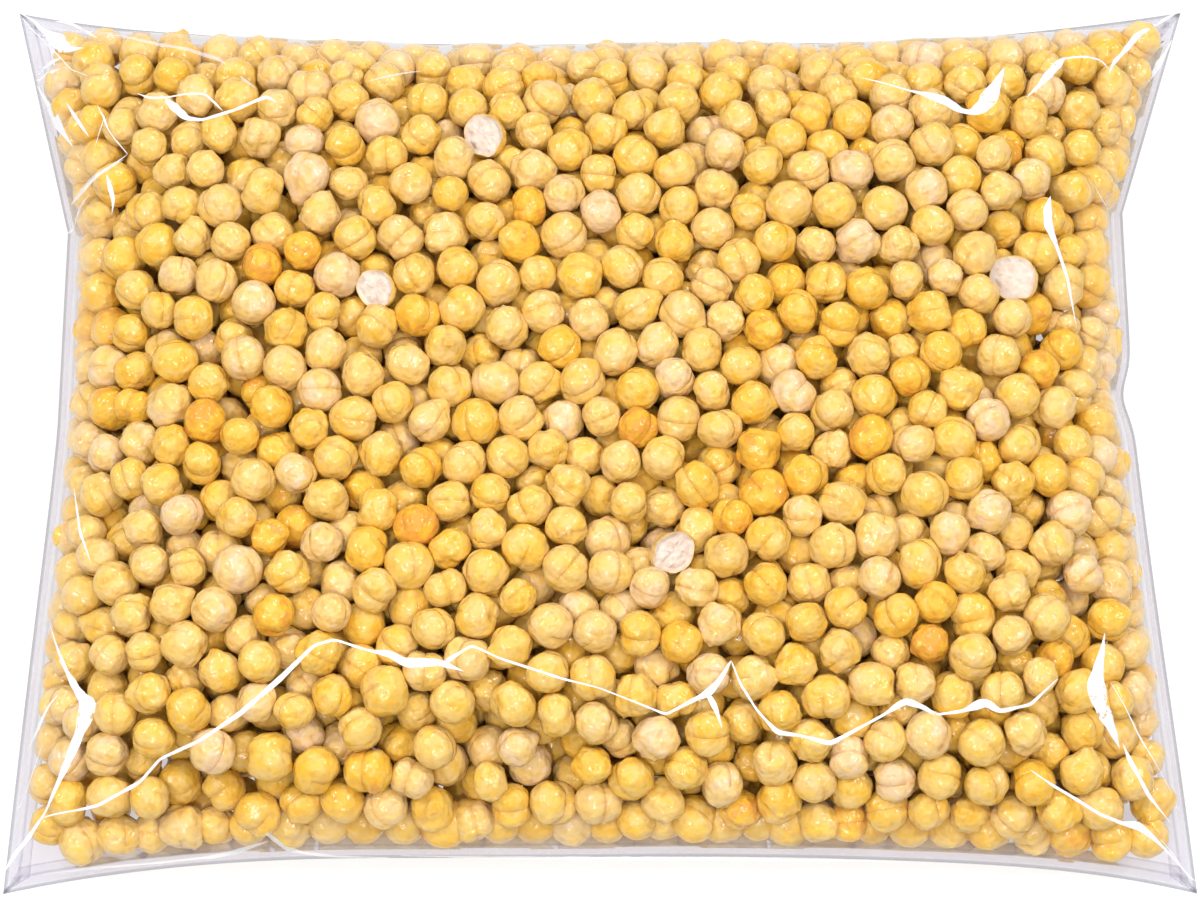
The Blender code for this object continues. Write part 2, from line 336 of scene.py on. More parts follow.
def pack_chickpeas():
    """Middles and radii of all the chickpeas, shaken apart until they fill the bag evenly."""
    cavity = Cavity()
    rng = np.random.default_rng(PACKING_SEED)
    ball = 4 / 3 * np.pi * CHICKPEA_RADIUS ** 3
    count = int(FILL_SHARE * cavity.volume / ball)
    u, v, z = cavity.scatter(count, rng)
    radii = CHICKPEA_RADIUS * (1 + SIZE_SPREAD * np.clip(rng.normal(0, 1, count), -2, 2))
    for step in range(PACKING_STEPS):
        middles = np.stack([*plan_position(u, v), z], axis=1)
        if step % WATCH_STEPS == 0:
            first, second = neighbours(middles, NEIGHBOUR_REACH * CHICKPEA_RADIUS)
        shift = push_apart(middles, radii, first, second)
        u, v, z = cavity.hold(u + shift[:, 0] / WAIST_LEFT, v + shift[:, 1] / MIDDLE_FRONT,
                              z + shift[:, 2])
    return np.stack([*plan_position(u, v), z], axis=1), radii


middles, radii = pack_chickpeas()
radii = radii * PRESSED
print(len(middles), "chickpeas packed")

# %% [markdown]
# Which chickpeas show
#
# Only those against the film are seen, and the ones in the gaps between them. Looking straight
# down and straight up at every millimetre of the bag and noting which chickpea is met first
# tells the two apart, so that the ones in view can be modelled finely and the hidden ones
# plainly.

# %% Find the chickpeas in view
BLOCKS = 60                         # groups of places looked up together, to save memory
VIEW_STEP = 0.001
VIEW_REACH_X, VIEW_REACH_Y = 0.130, 0.101
FILM_CLEARANCE = 0.0005             # between a chickpea's proudest lump and the film
PROUDEST = 1.10                     # how far lumps and beaks stand out, as a share of the radius
SHOWN_CELLS = 18                    # square millimetres in view that make a chickpea a main one
WHOLE_CELLS = 46                    # and that make it one that nothing covers


def outermost(x, y, reach, side):
    """Height of the outermost chickpea over each place, and which one it is."""
    heights, indices = [], []
    for block_x, block_y in zip(np.array_split(x, BLOCKS), np.array_split(y, BLOCKS)):
        squared = (block_x[:, None] - middles[:, 0]) ** 2 + (block_y[:, None] - middles[:, 1]) ** 2
        room = reach ** 2 - squared
        cap = side * middles[:, 2] + np.sqrt(np.maximum(room, 0.0))
        cap = np.where(room > 0, cap, -1.0)
        best = cap.argmax(axis=1)
        indices.append(np.where(cap.max(axis=1) > -1.0, best, -1))
        heights.append(cap.max(axis=1))
    return side * np.concatenate(heights), np.concatenate(indices)


def cells_in_view(side):
    """How many square millimetres of each chickpea show from above (1) or below (-1)."""
    x, y = np.meshgrid(np.arange(-VIEW_REACH_X, VIEW_REACH_X, VIEW_STEP),
                       np.arange(-VIEW_REACH_Y, VIEW_REACH_Y, VIEW_STEP))
    _, indices = outermost(x.ravel(), y.ravel(), radii, side)
    return np.bincount(indices[indices >= 0], minlength=len(middles))


seen_above, seen_below = cells_in_view(1), cells_in_view(-1)
main_ones = seen_above >= SHOWN_CELLS
backing_ones = ~main_ones & (seen_above > 0)
lower_ones = (seen_above == 0) & (seen_below > 0)
print(int(main_ones.sum()), "main,", int(backing_ones.sum()), "behind,", int(lower_ones.sum()), "below")

# %% [markdown]
# Picking points and applying modifiers
#
# In Blender's window one clicks on points, and in a script one picks them by their place. Two
# helpers do what every piece below needs: select some points in edit mode, and add a modifier
# and apply it at once, so that what is left is plain mesh.

# %% Tools for picking and applying


def pick(thing, chosen):
    """Enter edit mode with only the points selected whose place passes a test."""
    bpy.ops.object.mode_set(mode="EDIT")
    bpy.ops.mesh.select_mode(type="VERT")
    bpy.ops.mesh.select_all(action="DESELECT")
    bpy.ops.object.mode_set(mode="OBJECT")
    for corner in thing.data.vertices:
        corner.select = chosen(corner.co)
    bpy.ops.object.mode_set(mode="EDIT")


def apply(thing, kind, **settings):
    """Add a modifier with its settings and apply it."""
    modifier = thing.modifiers.new(kind.lower(), kind)
    for name, value in settings.items():
        setattr(modifier, name, value)
    bpy.ops.object.modifier_apply(modifier=modifier.name)


print("picking tools ready")

# %% [markdown]
# Modelling one chickpea
#
# A chickpea is a ball of two halves with a seam between them, a small beak where it sprouts,
# and a skin that wrinkles into shallow lumps as it roasts. A UV sphere would bunch its faces
# at two poles, so each kind starts as a cube, cut up evenly and cast to a ball. In edit mode
# the ring of points between the halves is drawn in with proportional editing, the beak is
# pulled out the same way, and a bisect on each side of the seam makes the fine line crisp.
# A Displace modifier with a cloud texture gives the lumps.

# %% Tools for shaping a ball


def even_ball(name, cuts, stretch):
    """A ball of even squares, as long, wide and high as stretch says."""
    bpy.ops.object.select_all(action="DESELECT")
    bpy.ops.mesh.primitive_cube_add(size=2 * CHICKPEA_RADIUS / math.sqrt(3))
    ball = bpy.context.object
    ball.name = name
    bpy.ops.object.mode_set(mode="EDIT")
    bpy.ops.mesh.select_all(action="SELECT")
    bpy.ops.mesh.subdivide(number_cuts=cuts)
    bpy.ops.object.mode_set(mode="OBJECT")
    apply(ball, "CAST", factor=1.0, size=CHICKPEA_RADIUS, use_radius_as_size=False)
    bpy.ops.object.mode_set(mode="EDIT")
    bpy.ops.mesh.select_all(action="SELECT")
    bpy.ops.transform.resize(value=stretch, center_override=(0, 0, 0))
    bpy.ops.object.mode_set(mode="OBJECT")
    return ball


def draw_in(ball, chosen, value, size=0.0):
    """Scale the chosen points towards the middle, and their surroundings with them."""
    pick(ball, chosen)
    bpy.ops.transform.resize(
        value=value, center_override=(0, 0, 0), use_proportional_edit=size > 0,
        proportional_edit_falloff="SMOOTH", proportional_size=max(size, 0.0001))
    bpy.ops.object.mode_set(mode="OBJECT")


def pull_out(ball, chosen, shift, size):
    """Move the chosen points, and their surroundings with them."""
    pick(ball, chosen)
    bpy.ops.transform.translate(
        value=shift, use_proportional_edit=True,
        proportional_edit_falloff="SHARP", proportional_size=size)
    bpy.ops.object.mode_set(mode="OBJECT")


def lumpy(ball, size, height, basis, place, group=""):
    """Raise shallow lumps with a cloud texture, each kind from another place in the cloud."""
    texture = bpy.data.textures.new(ball.name + "_lumps", "CLOUDS")
    texture.noise_scale = size
    texture.noise_depth = 1
    texture.noise_basis = basis
    shift = Vector((1.0, 0.7, -0.3)) * place
    ball.data.transform(Matrix.Translation(shift))
    apply(ball, "DISPLACE", texture=texture, strength=height, mid_level=0.5, direction="NORMAL",
          texture_coords="LOCAL", vertex_group=group)
    ball.data.transform(Matrix.Translation(-shift))


print("shaping tools ready")

# %% [markdown]
# A whole chickpea
#
# All the whole ones share one recipe and differ in a few numbers: how long they are, how deep
# the groove runs, how crisp its line is, how far the beak stands out and how high the lumps
# rise. Those that hardly show get fewer cuts and no lumps.

# %% Model a whole chickpea
R = CHICKPEA_RADIUS
FINE_CUTS, PLAIN_CUTS, HIDDEN_CUTS = 7, 3, 2
SEAM_LINE = 0.00022                 # half the width of the crisp line between the halves
SEAM_REACH = 0.00005                # points this near the plane of the seam are on it
GROOVE_END = -0.62 * R              # how far down the groove runs, and the line in it
LINE_END = -0.60 * R
GROOVE_SPREAD = 0.55 * R            # how far the halves curve in towards the seam
LUMP_SIZE, WRINKLE_GAP = 0.0034, 0.0022
BEAK_ROOT = Vector((0, -0.5, -0.8)) * R
BEAK_PULL = Vector((0, -0.55, -0.75)) * R
BEAK_SIZE, BEAK_SPREAD = 0.25 * R, 0.5 * R


def on_seam(co):
    """Points in the plane between the two halves, but for the sprouting side."""
    return abs(co.x) < SEAM_REACH and co.z > GROOVE_END


def model_chickpea(name, cuts, stretch, groove, beak, line=0.0, lumps=0.0, place=0.0):
    """One whole chickpea; groove and line are how far its seam is drawn in, as shares."""
    ball = even_ball(name, cuts, stretch)
    draw_in(ball, on_seam, (1, 1 - groove, 1 - groove), GROOVE_SPREAD)
    if beak:
        pull_out(ball, lambda co: (co - BEAK_ROOT).length < BEAK_SIZE, beak * BEAK_PULL,
                 BEAK_SPREAD)
    if cuts == FINE_CUTS:
        lumpy(ball, LUMP_SIZE, lumps * R, "BLENDER_ORIGINAL", place)
        lumpy(ball, WRINKLE_GAP, 0.5 * lumps * R, "VORONOI_F2_F1", place + 0.1)
        for side in (-1, 1):
            pick(ball, lambda co: True)
            bpy.ops.mesh.bisect(plane_co=(side * SEAM_LINE, 0, 0), plane_no=(1, 0, 0))
            bpy.ops.object.mode_set(mode="OBJECT")
        draw_in(ball, lambda co: abs(co.x) < 0.6 * SEAM_LINE and co.z > LINE_END,
                (1, 1 - line, 1 - line))
    apply(ball, "TRIANGULATE")
    return ball


print("a fine one is cut", FINE_CUTS, "times across each side")

# %% [markdown]
# A split chickpea
#
# A few of them lost a half as they roasted, and show the flat, chalky inner face. A bisect cuts
# the ball and fills the cut, insets make the rim of skin and a shallow dish inside it, and a
# poke with a few cuts gives that face enough points for a fine relief. A vertex group keeps
# which points are flesh.

# %% Model a split chickpea
SPLIT_STRETCH = (1.02, 0.96, 0.9)
SPLIT_LUMPS = 0.0030
CUT_HEIGHT = 0.32 * R               # of the flat face over the middle
CUT_LEAN = (0.12, 0.05, 1)          # which way that face looks
RIM_WIDTH = 0.0003                  # of the skin that shows round it
DISH_WIDTH, DISH_DEPTH = 0.0006, 0.00035
HEART_WIDTH, HEART_RISE = 0.0008, 0.00040
CHALK_GRAIN = 0.0016                # from one crumb of the flesh to the next
FLESH_CUTS = 3


def model_split(name, place):
    """Half of a chickpea lying with its chalky inner face up, with a rim of skin round it."""
    ball = even_ball(name, FINE_CUTS, SPLIT_STRETCH)
    lumpy(ball, SPLIT_LUMPS, 0.22 * R, "BLENDER_ORIGINAL", place)
    pick(ball, lambda co: True)
    bpy.ops.mesh.bisect(plane_co=(0, 0, CUT_HEIGHT), plane_no=CUT_LEAN, use_fill=True,
                        clear_outer=True)
    bpy.ops.mesh.inset(thickness=RIM_WIDTH, depth=0.0)
    bpy.ops.object.vertex_group_add()
    bpy.ops.object.vertex_group_assign()
    bpy.ops.mesh.inset(thickness=DISH_WIDTH, depth=-DISH_DEPTH)
    bpy.ops.mesh.inset(thickness=HEART_WIDTH, depth=HEART_RISE)
    bpy.ops.mesh.poke()
    bpy.ops.mesh.subdivide(number_cuts=FLESH_CUTS)
    bpy.ops.object.vertex_group_assign()
    bpy.ops.object.mode_set(mode="OBJECT")
    lumpy(ball, CHALK_GRAIN, 0.16 * R, "VORONOI_F2_F1", place, ball.vertex_groups[0].name)
    apply(ball, "TRIANGULATE")
    return ball


print("a split one is cut", round(CUT_HEIGHT * 1000, 2), "mm over its middle")

# %% [markdown]
# The kinds of chickpea
#
# The photograph shows the same few characters again and again: nearly smooth ones with a
# hair-thin seam, ones with two plump halves and a deep groove, wrinkled ones, ones with a
# beak, long ones, and the split ones. Each kind is modelled once at its true size, with a
# number on every point for how close it lies to the groove or to the spot where it sprouts,
# and whether it is bare flesh, for the skin's colours to read later.

# %% Model the kinds
GROOVE_REACH = 0.0004               # how far to each side the groove is darker
BEAK_SIDE = np.array([0, -0.530, -0.848])       # direction of the beak from the middle
BEAK_SPOT = 2.1                     # how many times darker than the groove its spot is
BEAK_SPOT_SIZE = 0.016              # as a share of the way round


class Kind:
    """A modelled chickpea as plain arrays, ready to be copied many times."""

    def __init__(self, ball):
        self.name = ball.name
        self.points = np.array([corner.co[:] for corner in ball.data.vertices])
        self.faces = np.array([face.vertices[:] for face in ball.data.polygons])
        away = np.abs(self.points[:, 0]) / GROOVE_REACH
        self.groove = np.exp(-away ** 2) * (self.points[:, 2] > LINE_END)
        facing_beak = self.points @ BEAK_SIDE / np.linalg.norm(self.points, axis=1)
        spot = BEAK_SPOT * np.exp((facing_beak - 1) / BEAK_SPOT_SIZE)
        self.groove = np.maximum(self.groove, spot)
        self.flesh = np.array([len(corner.groups) for corner in ball.data.vertices])
        if self.flesh.any():
            self.groove *= 0
        bpy.data.objects.remove(ball, do_unlink=True)
        print(self.name, len(self.faces), "triangles")


KINDS = [
    Kind(model_chickpea("smooth_chickpeas", FINE_CUTS, (1.0, 1.0, 1.0),
                        groove=0.04, line=0.030, beak=0.0, lumps=0.12, place=0.1)),
    Kind(model_chickpea("grooved_chickpeas", FINE_CUTS, (1.04, 0.98, 0.97),
                        groove=0.13, line=0.045, beak=0.10, lumps=0.16, place=0.2)),
    Kind(model_chickpea("plump_chickpeas", FINE_CUTS, (1.02, 0.97, 1.0),
                        groove=0.08, line=0.050, beak=0.0, lumps=0.20, place=0.3)),
    Kind(model_chickpea("wrinkled_chickpeas", FINE_CUTS, (1.0, 1.02, 0.97),
                        groove=0.07, line=0.030, beak=0.12, lumps=0.32, place=0.4)),
    Kind(model_chickpea("beaked_chickpeas", FINE_CUTS, (0.97, 0.99, 1.0),
                        groove=0.05, line=0.035, beak=0.28, lumps=0.20, place=0.5)),
    Kind(model_chickpea("long_chickpeas", FINE_CUTS, (0.95, 1.10, 0.97),
                        groove=0.10, line=0.040, beak=0.10, lumps=0.18, place=0.6)),
]
KIND_SHARES = [0.24, 0.20, 0.18, 0.16, 0.12, 0.10]
BACKING = Kind(model_chickpea("backing_chickpeas", PLAIN_CUTS, (1.0, 1.0, 0.98),
                              groove=0.08, beak=0.08))
LOWER = Kind(model_chickpea("lower_chickpeas", PLAIN_CUTS, (1.0, 1.0, 0.98),
                            groove=0.08, beak=0.08))
HIDDEN = Kind(model_chickpea("inner_chickpeas", HIDDEN_CUTS, (1.0, 1.0, 1.0),
                             groove=0.0, beak=0.0))
SPLIT = Kind(model_split("split_chickpeas", 0.9))

# %% [markdown]
# Finding places from the photograph
#
# A few chickpeas stand out: four that split, a dozen pale ones and a handful of deep orange
# ones. Each is named by its pixel. A ray from the camera through that pixel is followed down
# to the film, and the nearest chickpea there that nothing covers takes the part.

# %% Follow a pixel to the bag
FOCAL_PIXELS = LENS / SENSOR * PHOTO_WIDTH
RAY_ROUNDS = 30                     # rounds that close in on where a ray meets the film


def on_bag(column, row):
    """x and y where the camera's ray through a pixel meets the upper film."""
    forward = -camera_back
    right = Vector((1, 0, 0))
    up = right.cross(forward)
    across, upward = column - PHOTO_WIDTH / 2, PHOTO_HEIGHT / 2 - row
    ray = across * right + upward * up + FOCAL_PIXELS * forward
    ray.normalize()
    height = SEAM_HEIGHT
    for _ in range(RAY_ROUNDS):
        point = camera.location + ray * ((height - camera.location.z) / ray.z)
        u, v = unit_place(np.array([point.x]), np.array([point.y]))
        height = 0.5 * height + 0.5 * float(top_sheet(u, v)[0])
    return point.x, point.y


def nearest_whole(column, row):
    """The chickpea at a pixel that hardly any other one covers."""
    x, y = on_bag(column, row)
    away = np.hypot(middles[:, 0] - x, middles[:, 1] - y)
    return int(np.where(seen_above >= WHOLE_CELLS, away, 1.0).argmin())


SPLIT_PIXELS = [(462, 118), (366, 279), (1021, 261), (657, 541)]
PALE_PIXELS = [(345, 272), (785, 385), (260, 567), (325, 124), (376, 124), (857, 228), (600, 216),
               (555, 390), (1065, 515), (866, 735), (888, 808), (199, 503), (998, 432), (300, 157)]
DEEP_PIXELS = [(205, 405), (632, 432), (912, 645), (415, 490), (249, 262)]
splits = [nearest_whole(*pixel) for pixel in SPLIT_PIXELS]
pales = [nearest_whole(*pixel) for pixel in PALE_PIXELS]
deeps = [nearest_whole(*pixel) for pixel in DEEP_PIXELS]
print("split ones are numbers", splits)

# %% [markdown]
# Tones and turns
#
# No two chickpeas are roasted alike or lie alike. Each gets a tone between 0, a pale one, and
# 1, the deepest, and a turn in any direction. The draws start from a fixed seed, so the bag
# comes out the same every time.

# %% Draw tones and turns
DRAW_SEED = 23
MIDDLE_TONE, TONE_SPREAD = 0.46, 0.20
PALEST_TONE, DEEPEST_TONE = 0.05, 0.90          # of those that aren't listed by their pixel
GAP_SHADE_TONE, GAP_SHADE_SPREAD = 0.50, 0.35         # painted shade: those behind and below are deeper and more alike
rng = np.random.default_rng(DRAW_SEED)
tones = rng.normal(MIDDLE_TONE, TONE_SPREAD, len(middles))
tones = np.clip(tones, PALEST_TONE, DEEPEST_TONE)
# Painted shade: every chickpea that isn't a main one gets a deeper tone, so the gaps look darker.
tones[~main_ones] = GAP_SHADE_TONE + GAP_SHADE_SPREAD * tones[~main_ones]
tones[pales] = 0.0
tones[deeps] = 1.0


def random_turns(count):
    """As many turns in any direction, from random unit quaternions."""
    quaternions = rng.normal(size=(4, count))
    w, x, y, z = quaternions / np.linalg.norm(quaternions, axis=0)
    rows = [[1 - 2 * (y * y + z * z), 2 * (x * y - w * z), 2 * (x * z + w * y)],
            [2 * (x * y + w * z), 1 - 2 * (x * x + z * z), 2 * (y * z - w * x)],
            [2 * (x * z - w * y), 2 * (y * z + w * x), 1 - 2 * (x * x + y * y)]]
    return np.array(rows).transpose(2, 0, 1)


print("tones run from", round(float(tones.min()), 2), "to", round(float(tones.max()), 2))

# %% [markdown]
# From arrays to a mesh
#
# Some pieces below have far too many points to place one by one: thousands of copies, or a
# sheet of film. They are worked out as arrays of points and faces and handed over in one go.
# An attribute is a number or a place kept on every point, which a material can read.

# %% Tools for meshes from arrays
SHARP_ANGLE = math.radians(48)      # edges that turn more than this stay crisp


def mesh_from_arrays(name, points, faces):
    """A mesh object of triangles or squares, shaded smooth."""
    mesh = bpy.data.meshes.new(name)
    sides = faces.shape[1]
    mesh.vertices.add(len(points))
    mesh.vertices.foreach_set("co", points.astype(np.float32).ravel())
    mesh.loops.add(faces.size)
    mesh.loops.foreach_set("vertex_index", faces.astype(np.int32).ravel())
    mesh.polygons.add(len(faces))
    mesh.polygons.foreach_set("loop_start", np.arange(0, faces.size, sides, dtype=np.int32))
    mesh.update(calc_edges=True)
    mesh.validate()
    mesh.shade_smooth()
    mesh.set_sharp_from_angle(angle=SHARP_ANGLE)
    thing = bpy.data.objects.new(name, mesh)
    bpy.context.scene.collection.objects.link(thing)
    return thing


def store(thing, name, values):
    """Keep a number, or a place, on every point of a mesh."""
    flat = np.asarray(values, dtype=np.float32)
    kind, field = ("FLOAT_VECTOR", "vector") if flat.ndim == 2 else ("FLOAT", "value")
    thing.data.attributes.new(name, kind, "POINT").data.foreach_set(field, flat.ravel())


print("array tools ready")

# %% [markdown]
# Copying the chickpeas into the bag
#
# Thousands of separate objects would be slow, so all the chickpeas of one kind become one
# mesh. The kind's points are turned, sized and moved for every copy at once, as arrays. Each
# point also keeps three things for the skin material: the chickpea's own tone, its place on
# the chickpea in millimetres, and the groove and flesh numbers from the model.

# %% Join the copies of each kind
STRETCH_SPREAD = 0.035              # how unlike each chickpea's length, width and height are
LOWEST_POINT = 0.0002               # where the lowest ones rest on the film
SKIN_SPREAD = 500.0                 # millimetres over which the skin patterns are drawn apart
SPLIT_LEAN = 0.2                    # radians by which a split face leans off the camera
SPLIT_TWIST = 15                    # and how many times more it turns about its own middle


def join_copies(kind, chosen, turns):
    """All the chosen chickpeas as copies of one kind, in one mesh."""
    stretches = rng.normal(1.0, STRETCH_SPREAD, (len(chosen), 3))
    sizes = radii[chosen, None] / CHICKPEA_RADIUS * stretches
    turned = np.einsum("nij,nj,pj->npi", turns, sizes, kind.points)
    points = (turned + middles[chosen][:, None, :]).reshape(-1, 3)
    points[:, 2] = np.maximum(points[:, 2], LOWEST_POINT)
    firsts = np.arange(len(chosen)) * len(kind.points)
    faces = (kind.faces[None] + firsts[:, None, None]).reshape(-1, 3)
    thing = mesh_from_arrays(kind.name, points, faces)
    own_place = kind.points[None] * 1000 + rng.uniform(0, SKIN_SPREAD, (len(chosen), 1, 3))
    store(thing, "tone", np.repeat(tones[chosen], len(kind.points)))
    store(thing, "skin_place", own_place.reshape(-1, 3))
    store(thing, "groove", np.tile(kind.groove, len(chosen)))
    store(thing, "flesh", np.tile(kind.flesh, len(chosen)))
    print(kind.name, len(chosen), "copies,", len(faces), "triangles")
    return thing


def towards_camera(lean):
    """A turn that faces a chickpea's flat side to the camera, leaning a little."""
    tilt = Matrix.Rotation(math.pi / 2 - CAMERA_TILT + lean[0], 3, "X")
    return np.array(tilt @ Matrix.Rotation(lean[1], 3, "Y") @ Matrix.Rotation(lean[2], 3, "Z"))


draw = rng.choice(len(KINDS), len(middles), p=KIND_SHARES)
is_split = np.isin(np.arange(len(middles)), splits)
chickpeas = []
for index, kind in enumerate(KINDS):
    chosen = np.nonzero(main_ones & ~is_split & (draw == index))[0]
    chickpeas.append(join_copies(kind, chosen, random_turns(len(chosen))))
hidden_ones = (seen_above == 0) & ~lower_ones
for kind, some in ((BACKING, backing_ones), (LOWER, lower_ones), (HIDDEN, hidden_ones)):
    chosen = np.nonzero(some)[0]
    chickpeas.append(join_copies(kind, chosen, random_turns(len(chosen))))
leans = rng.uniform(-SPLIT_LEAN, SPLIT_LEAN, (len(splits), 3)) * (1, 1, SPLIT_TWIST)
facing = np.array([towards_camera(lean) for lean in leans])
chickpeas.append(join_copies(SPLIT, np.array(splits), facing))
print("the bag holds", len(middles), "chickpeas in", len(chickpeas), "pieces")

# %% [markdown]
# Colours and nodes
#
# Colours are written the way a paint or web chart writes them, as hex, and turned into the
# linear light that the renderer adds up. One helper adds a node, sets it and wires it.

# %% Helpers for materials


def linear(code):
    """An sRGB hex colour as linear red, green, blue and alpha."""
    parts = [int(code[place:place + 2], 16) / 255 for place in (1, 3, 5)]
    curve = [part / 12.92 if part <= 0.04045 else ((part + 0.055) / 1.055) ** 2.4
             for part in parts]
    return (*curve, 1.0)


def add_node(material, kind, settings=None, **links):
    """Add a node; links name an input and give a value or another node's output."""
    node = material.node_tree.nodes.new(kind)
    for name, value in (settings or {}).items():
        setattr(node, name, value)
    for name, value in links.items():
        place = int(name[1:]) if name[1:].isdigit() else name.replace("_", " ")
        socket = node.inputs[place]
        if isinstance(value, bpy.types.NodeSocket):
            material.node_tree.links.new(value, socket)
        else:
            socket.default_value = value
    return node


def new_material(name):
    """An empty node material and its output node."""
    material = bpy.data.materials.new(name)
    material.use_nodes = True
    material.node_tree.nodes.clear()
    return material, add_node(material, "ShaderNodeOutputMaterial")


def stored(material, name):
    """A number or place that was kept on the mesh under this name."""
    return add_node(material, "ShaderNodeAttribute", {"attribute_name": name})


def coloured_by(material, value, stops):
    """A colour ramp over a value, from (place, hex colour) pairs."""
    node = add_node(material, "ShaderNodeValToRGB", Fac=value)
    points = node.color_ramp.elements
    while len(points) < len(stops):
        points.new(0.5)
    for point, (place, code) in zip(points, stops):
        point.position = place
        point.color = linear(code)
    return node.outputs["Color"]


def blended(material, share, first, second):
    """The first colour where the share is 0, and the second where it is 1."""
    node = add_node(material, "ShaderNodeMix", {"data_type": "RGBA"}, i0=share, i6=first, i7=second)
    return node.outputs[2]


print("golden is", [round(value, 3) for value in linear("#FBD88A")])

# %% [markdown]
# The colour of roasted skin
#
# Roasting turns the skin golden yellow, and no two chickpeas come out the same, from cream to
# deep gold. The chickpea's stored tone picks a colour on a ramp. A cloud a few millimetres
# wide shifts it up or down, for the patches that browned more or less. The groove, and the
# spot where it sprouts, are deeper in colour.

# %% Colour the skin
PATCH_SIZE = 3.6                    # millimetres; how wide the browner patches are
PATCH_SHIFT = 0.26                  # how far they shift the tone, either way
GROOVE_SHARE = 0.35                 # how much of the groove's own colour shows in it
SKIN_TONES = [(0.00, "#D8BA8E"), (0.07, "#D7B87E"), (0.25, "#D8B670"), (0.45, "#D9B562"),
              (0.65, "#DAB04C"), (0.85, "#DAA938"), (0.95, "#D9A235"), (1.00, "#D0943A")]
GROOVE_COLOUR = "#BC8434"


def skin_colour(skin, place):
    """From cream to deep gold, with browner patches and a darker groove."""
    patches = add_node(skin, "ShaderNodeTexNoise", Vector=place, Scale=1 / PATCH_SIZE,
                       Detail=2.0, Roughness=0.55)
    drift = add_node(skin, "ShaderNodeMapRange", Value=patches.outputs["Fac"], From_Min=0.3,
                     From_Max=0.7, To_Min=-PATCH_SHIFT, To_Max=PATCH_SHIFT)
    shifted = add_node(skin, "ShaderNodeMath", {"operation": "ADD", "use_clamp": True},
                       i0=stored(skin, "tone").outputs["Fac"], i1=drift.outputs["Result"])
    in_groove = add_node(skin, "ShaderNodeMath", {"operation": "MULTIPLY"},
                         i0=stored(skin, "groove").outputs["Fac"], i1=GROOVE_SHARE)
    golden = coloured_by(skin, shifted.outputs["Value"], SKIN_TONES)
    return blended(skin, in_groove.outputs["Value"], golden, linear(GROOVE_COLOUR))


print("skin runs from", SKIN_TONES[0][1], "to", SKIN_TONES[-1][1])

# %% [markdown]
# The surface of roasted skin
#
# The seed coat is satin, rubbed smooth against its neighbours, with fine wrinkles that a bump
# raises, and painted shade darkens their hollows a little. Split ones show dry white flesh, as rough
# as chalk and a little uneven in colour. All of it follows each chickpea's own stored place,
# so it stays on the chickpea wherever it lies.

# %% Paint the chickpeas
WRINKLE_SIZE = 1.7                  # millimetres from one wrinkle to the next
WRINKLE_DEPTH = 0.0009
SATIN, CHALKY = 0.24, 0.9           # roughness of skin and of flesh
HOLLOW_SHADE_SHARE = 0.30                 # how much painted shade darkens the hollows at their deepest
HOLLOW_SHADE_COLOUR = "#C08A36"
FLESH_TONES = [(0.32, "#BFAB98"), (0.60, "#CABDAE")]


def chickpea_skin():
    """Satin golden skin, and chalky flesh where the mesh says so."""
    skin, output = new_material("roasted_chickpea_skin")
    place = stored(skin, "skin_place").outputs["Vector"]
    flesh = stored(skin, "flesh").outputs["Fac"]
    wrinkles = add_node(skin, "ShaderNodeTexNoise", Vector=place, Scale=1 / WRINKLE_SIZE,
                        Detail=1.2, Roughness=0.5).outputs["Fac"]
    relief = add_node(skin, "ShaderNodeBump", Height=wrinkles, Strength=0.68,
                      Distance=WRINKLE_DEPTH)
    gloss = add_node(skin, "ShaderNodeMapRange", Value=flesh, To_Min=SATIN, To_Max=CHALKY)
    # Painted shade: the skin turns browner where the wrinkle bump is low, in its hollows.
    depth = add_node(skin, "ShaderNodeMapRange", Value=wrinkles, From_Min=0.30, From_Max=0.48,
                     To_Min=HOLLOW_SHADE_SHARE, To_Max=0.0)
    hollow_shaded = blended(skin, depth.outputs["Result"], skin_colour(skin, place),
                       linear(HOLLOW_SHADE_COLOUR))
    bare = blended(skin, flesh, hollow_shaded, coloured_by(skin, wrinkles, FLESH_TONES))
    surface = add_node(skin, "ShaderNodeBsdfPrincipled", Base_Color=bare,
                       Roughness=gloss.outputs["Result"], Normal=relief.outputs["Normal"])
    surface.inputs["IOR"].default_value = 1.46
    skin.node_tree.links.new(surface.outputs["BSDF"], output.inputs["Surface"])
    return skin


skin = chickpea_skin()
for thing in chickpeas:
    thing.data.materials.append(skin)
print("skin on", len(chickpeas), "pieces")

# %% [markdown]
# A grid for the film
#
# Each sheet is a grid of about a millimetre, laid out in u and v so that it follows the
# outline. It ends just inside the weld's outer edge, and the weld holds its outermost cells.

# %% Lay the grid for the film
FILM_COLUMNS, FILM_ROWS = 246, 192
WELD_CELLS = 2                      # grid cells that the weld takes up at each edge
FILM_INSET = 0.0008                 # how far inside the weld's outer edge the film ends

reach_u, reach_v = 1 - FILM_INSET / WAIST_LEFT, 1 - FILM_INSET / MIDDLE_FRONT
grid_u, grid_v = np.meshgrid(np.linspace(-reach_u, reach_u, FILM_COLUMNS),
                             np.linspace(-reach_v, reach_v, FILM_ROWS))
grid_x, grid_y = plan_position(grid_u, grid_v)
seam = seam_height(grid_u, grid_v)
free = np.zeros(seam.shape, dtype=bool)
free[WELD_CELLS:-WELD_CELLS, WELD_CELLS:-WELD_CELLS] = True
print("the film moves freely at", int(free.sum()), "points of each sheet")

